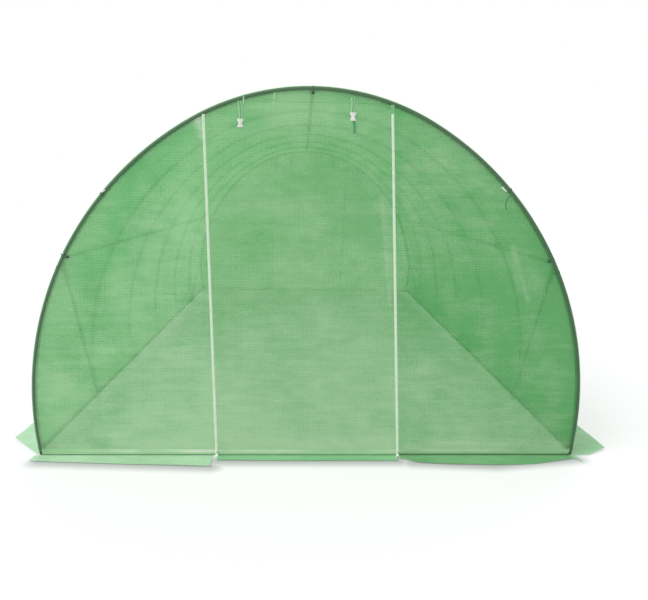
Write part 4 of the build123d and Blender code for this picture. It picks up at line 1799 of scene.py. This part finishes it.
@dataclass
class Ties(EndPart):
    """Cord wrapped round an end hoop, its white ends, and the caps of the purlins' ends."""

    band: float = 0.0055  # width of a wrap along the hoop
    round: Pair = (0.0168, 0.0180)  # half sizes of a wrap, across the hoop and along the tunnel
    film: float = 0.0009  # thickness of a wrap
    places: Rows = ((1.098, -1), (1.425, -1), (1.474, 1))  # height and side of every wrap
    # place across and up, lean and length of every white end
    ends: Rows = (
        (-1.318, 1.104, 0.10, 0.021),
        (-1.095, 1.434, -0.60, 0.024),
        (1.028, 1.470, 0.75, 0.034),
    )
    end_size: Pair = (0.0016, 0.0072)  # thickness and width of a white end
    end_proud: float = 0.0022  # how far it stands out of the wall's outer face
    under: float = -0.0225  # where the caps are, from the hoop's centre line
    cap: Point = (0.0085, 0.0075, 0.012)  # a cap's radius at its foot and at its end, and its depth
    cap_middle: float = 0.0050  # how far inside the wall's outer face its middle is
    back: float = 0.0008  # how far a wrap's middle lies outside the hoop's

    def build(self) -> None:
        """Makes the wraps, the white ends and the caps."""
        wraps, tails, caps = Form(), Form(), Form()
        for height, side in self.places:
            wraps.add(self.wrap(side * FILM.angle_at(height)))
        for x, z, lean, length in self.ends:
            place = Matrix.Translation((x, -END_Y - self.end_proud, z))
            turned = place @ Matrix.Rotation(lean, 4, "Y")
            tails.block((length, *self.end_size), turned, 0.0007)
        turn = Matrix.Rotation(pi / 2, 4, "X")
        line = ARCH.grown(self.under)
        purlin = line.angle_at(PURLIN_HEIGHT)
        for angle in (0.0, -purlin, purlin):
            x, z = line.point(angle)
            place = Matrix.Translation((x, -END_Y + self.cap_middle, z))
            caps.drum(self.cap, place @ turn, 16)
        self.keep(wraps, "hoop_wraps_{}", Finish.TIE)
        self.keep(tails, "wrap_ends_{}", Finish.TIE_TAIL)
        self.keep(caps, "purlin_caps_{}", Finish.CAP)

    def wrap(self, angle: float) -> Form:
        """Makes one wrap round the hoop and the film on it.

        Args:
            angle: Its place on the arch.

        Returns:
            The wrap.
        """
        x, z = ARCH.point(angle)
        turn = Matrix.Rotation(angle + pi / 2, 4, "Y")
        matrix = Matrix.Translation((x, FIRST_HOOP - self.back, z)) @ turn
        shift = Matrix.Translation((0, 0, -self.band / 2))
        size = Matrix.Diagonal((*self.round, 1.0, 1.0))
        form = Form()
        bmesh.ops.create_circle(form.bm, segments=28, radius=1.0, matrix=matrix @ shift @ size)
        made = bmesh.ops.extrude_edge_only(form.bm, edges=form.bm.edges[:])
        moved = [v for v in made["geom"] if isinstance(v, bmesh.types.BMVert)]
        along = (matrix.to_3x3() @ Vector((0, 0, 1))) * self.band
        bmesh.ops.translate(form.bm, verts=moved, vec=along)
        form.outward()
        bmesh.ops.solidify(form.bm, geom=form.bm.faces[:], thickness=-self.film)
        return form


# --- Tie cord ---


@dataclass
class TieCord:
    """Loose end of the cord tied round the front hoop at the right shoulder."""

    diameter: float = 0.005
    length: float = 0.088  # its whole length
    height: float = 1.44  # height at which it leaves the hoop
    inside: float = -0.0128  # where it leaves, from the hoop's centre line
    first: float = 0.022  # length of its first run, square to the hoop
    # length and lean from plumb, in degrees, of the runs after it
    runs: Rows = ((0.024, -18.0), (0.023, -10.0), (0.021, 24.0))
    front: float = -3.0032  # place along the tunnel, in front of the end wall

    def build(self) -> None:
        """Makes the cord as one smooth curve."""
        rim = ARCH.grown(self.inside)
        angle = rim.angle_at(self.height)
        x, z = rim.point(angle)
        places = [(x, self.front, z)]
        for length, lean in ((self.first, -angle), *((r, radians(a)) for r, a in self.runs)):
            x, z = x + length * sin(lean), z - length * cos(lean)
            places.append((x, self.front, z))
        curve = bpy.data.curves.new("tie_cord_end", "CURVE")
        curve.dimensions = "3D"
        curve.bevel_depth = self.diameter / 2
        curve.bevel_resolution = 4
        curve.resolution_u = 12
        curve.use_fill_caps = True
        line = curve.splines.new("NURBS")
        line.points.add(len(places) - 1)
        for point, place in zip(line.points, places):
            point.co = (*place, 1.0)
        line.order_u = 3
        line.use_endpoint_u = True
        ridden("tie_cord_end", curve, Finish.CORD, ["tie_cord"])
        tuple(places[0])
        LOG.info("tie_cord_end: %d points", len(places))


# --- Studio ---


@dataclass
class Studio:
    """Floor, lamps and camera."""

    place: Point = (-0.0479, -6.5760, 1.4591)
    yaw: float = -1.868  # its turn about Z, in degrees
    pitch: float = -5.165  # its tilt, in degrees, negative downwards
    roll: float = 0.751  # its roll, in degrees
    focal: float = 672.22 / 648  # its focal length in picture widths
    shift: float = -50 / 648  # its upright shift in picture widths
    sky: float = 0.65  # strength of the light from all round
    # each lamp's strength, width in degrees and aim
    lamps: Rows = (
        ("key", 2.2, 62, (0.72, 0.32, -0.61)),
        ("fill", 1.1, 60, (-0.15, -0.85, -0.50)),
    )
    floor_colour: Colour = (0.48, 0.48, 0.485)
    floor_light: float = 0.51  # how much light of its own the floor shows
    floor_size: float = 30.0  # half its width
    under: float = 0.0004  # how far it lies below the ground
    # edges of the skirts at the ends, along which a soft contact shadow is painted on the floor,
    # and how deep that painted shadow is
    painted_skirt_shadows: tuple[Mark, ...] = marks(
        (-1.43, 3.086, -0.522, 3.148, 0.11, 0.42),
        (-0.497, 3.073, 0.483, 3.075, 0.11, 0.42),
        (0.56, 3.092, 0.99, 3.134, 0.11, 0.42),
        (0.99, 3.134, 1.466, 3.041, 0.11, 0.42),
    )

    def camera(self) -> None:
        """Adds the camera."""
        data = bpy.data.cameras.new("camera")
        data.sensor_width = 36.0
        data.lens = data.sensor_width * self.focal
        data.shift_y = self.shift
        data.clip_end = 200.0
        camera = shown("camera", data)
        camera.matrix_world = Matrix.Translation(self.place)
        for degrees, axis in ((self.yaw, "Z"), (90 + self.pitch, "X"), (self.roll, "Z")):
            camera.matrix_world @= Matrix.Rotation(radians(degrees), 4, axis)
        bpy.context.scene.camera = camera

    def floor(self) -> None:
        """Adds the pale floor, with painted shade inside the tunnel and painted shadows beside the
        skirts.
        """
        s = Shader(bpy.data.materials.new("floor_paper"))
        base = s.add("ShaderNodeBsdfDiffuse", {}, {"Color": self.floor_colour})
        x, y, _ = s.split(s.place())
        off, along = x.math("ABSOLUTE"), y.math("ABSOLUTE")
        inside = (1.0 - off.between(1.30, 1.46)) * (1.0 - along.between(2.9, 2.99))
        # painted shade on the floor inside the tunnel, deeper towards the back
        shade = inside * (y.between(-2.9, 3.1) * 0.27 + 0.03)
        # painted contact shadows along the skirts' front edges, at both ends
        front = x * (y.math("SIGN") * -1.0)
        for edge in self.painted_skirt_shadows:
            shade = shade.math("MAXIMUM", edge.at(front, along) * edge.amount)
        values = {"Color": (1.0, 1.0, 1.0), "Strength": s.backdrop() * (self.floor_light - shade)}
        light = s.add("ShaderNodeEmission", {}, values)
        half = self.floor_size
        mesh = Form().grid((-half, -half), (half, half), 2 * half).mesh("floor")
        mesh.materials.append(s.finish(s.add("ShaderNodeAddShader", {}, {0: base, 1: light})))
        floor_piece = shown("floor", mesh)
        floor_piece.location.z = -self.under
        floor_piece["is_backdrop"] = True

    def light(self) -> None:
        """Adds the sky, white where it shows, and the lamps."""
        bpy.context.scene.world = bpy.data.worlds.new("sky")
        s = Shader(bpy.context.scene.world)
        sky, white = (
            s.add("ShaderNodeBackground", {}, {"Color": (1.0, 1.0, 1.0), "Strength": strength})
            for strength in (self.sky, 1.0)
        )
        s.finish(s.mixed(s.backdrop(), sky, white), "World")
        for name, energy, width, aim in self.lamps:
            data = bpy.data.lights.new(name, "SUN")
            data.energy = energy
            data.angle = radians(width)
            shown(name, data).rotation_euler = Vector(aim).to_track_quat("-Z", "Y").to_euler()

    def build(self) -> None:
        """Sets the whole studio up."""
        self.camera()
        self.floor()
        self.light()
        bpy.context.scene.view_settings.view_transform = "Standard"


def main() -> None:
    """Builds the tunnel in order and works out its bounding boxes."""
    logging.basicConfig(level=logging.INFO, format="%(message)s")
    for part in (Studio(), TieCord(), Frame(), Cover()):
        part.build()
    for end in End:
        for kind in (EndWall, Zips, Straps):
            kind(end).build()
    Skirts().build()
    for end in End:
        Ties(end).build()
    boxes = {"cad": CAD_BOX, "visual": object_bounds()}
    plain = {name: [list(corner) for corner in box] for name, box in boxes.items()}


if __name__ == "__main__":
    main()
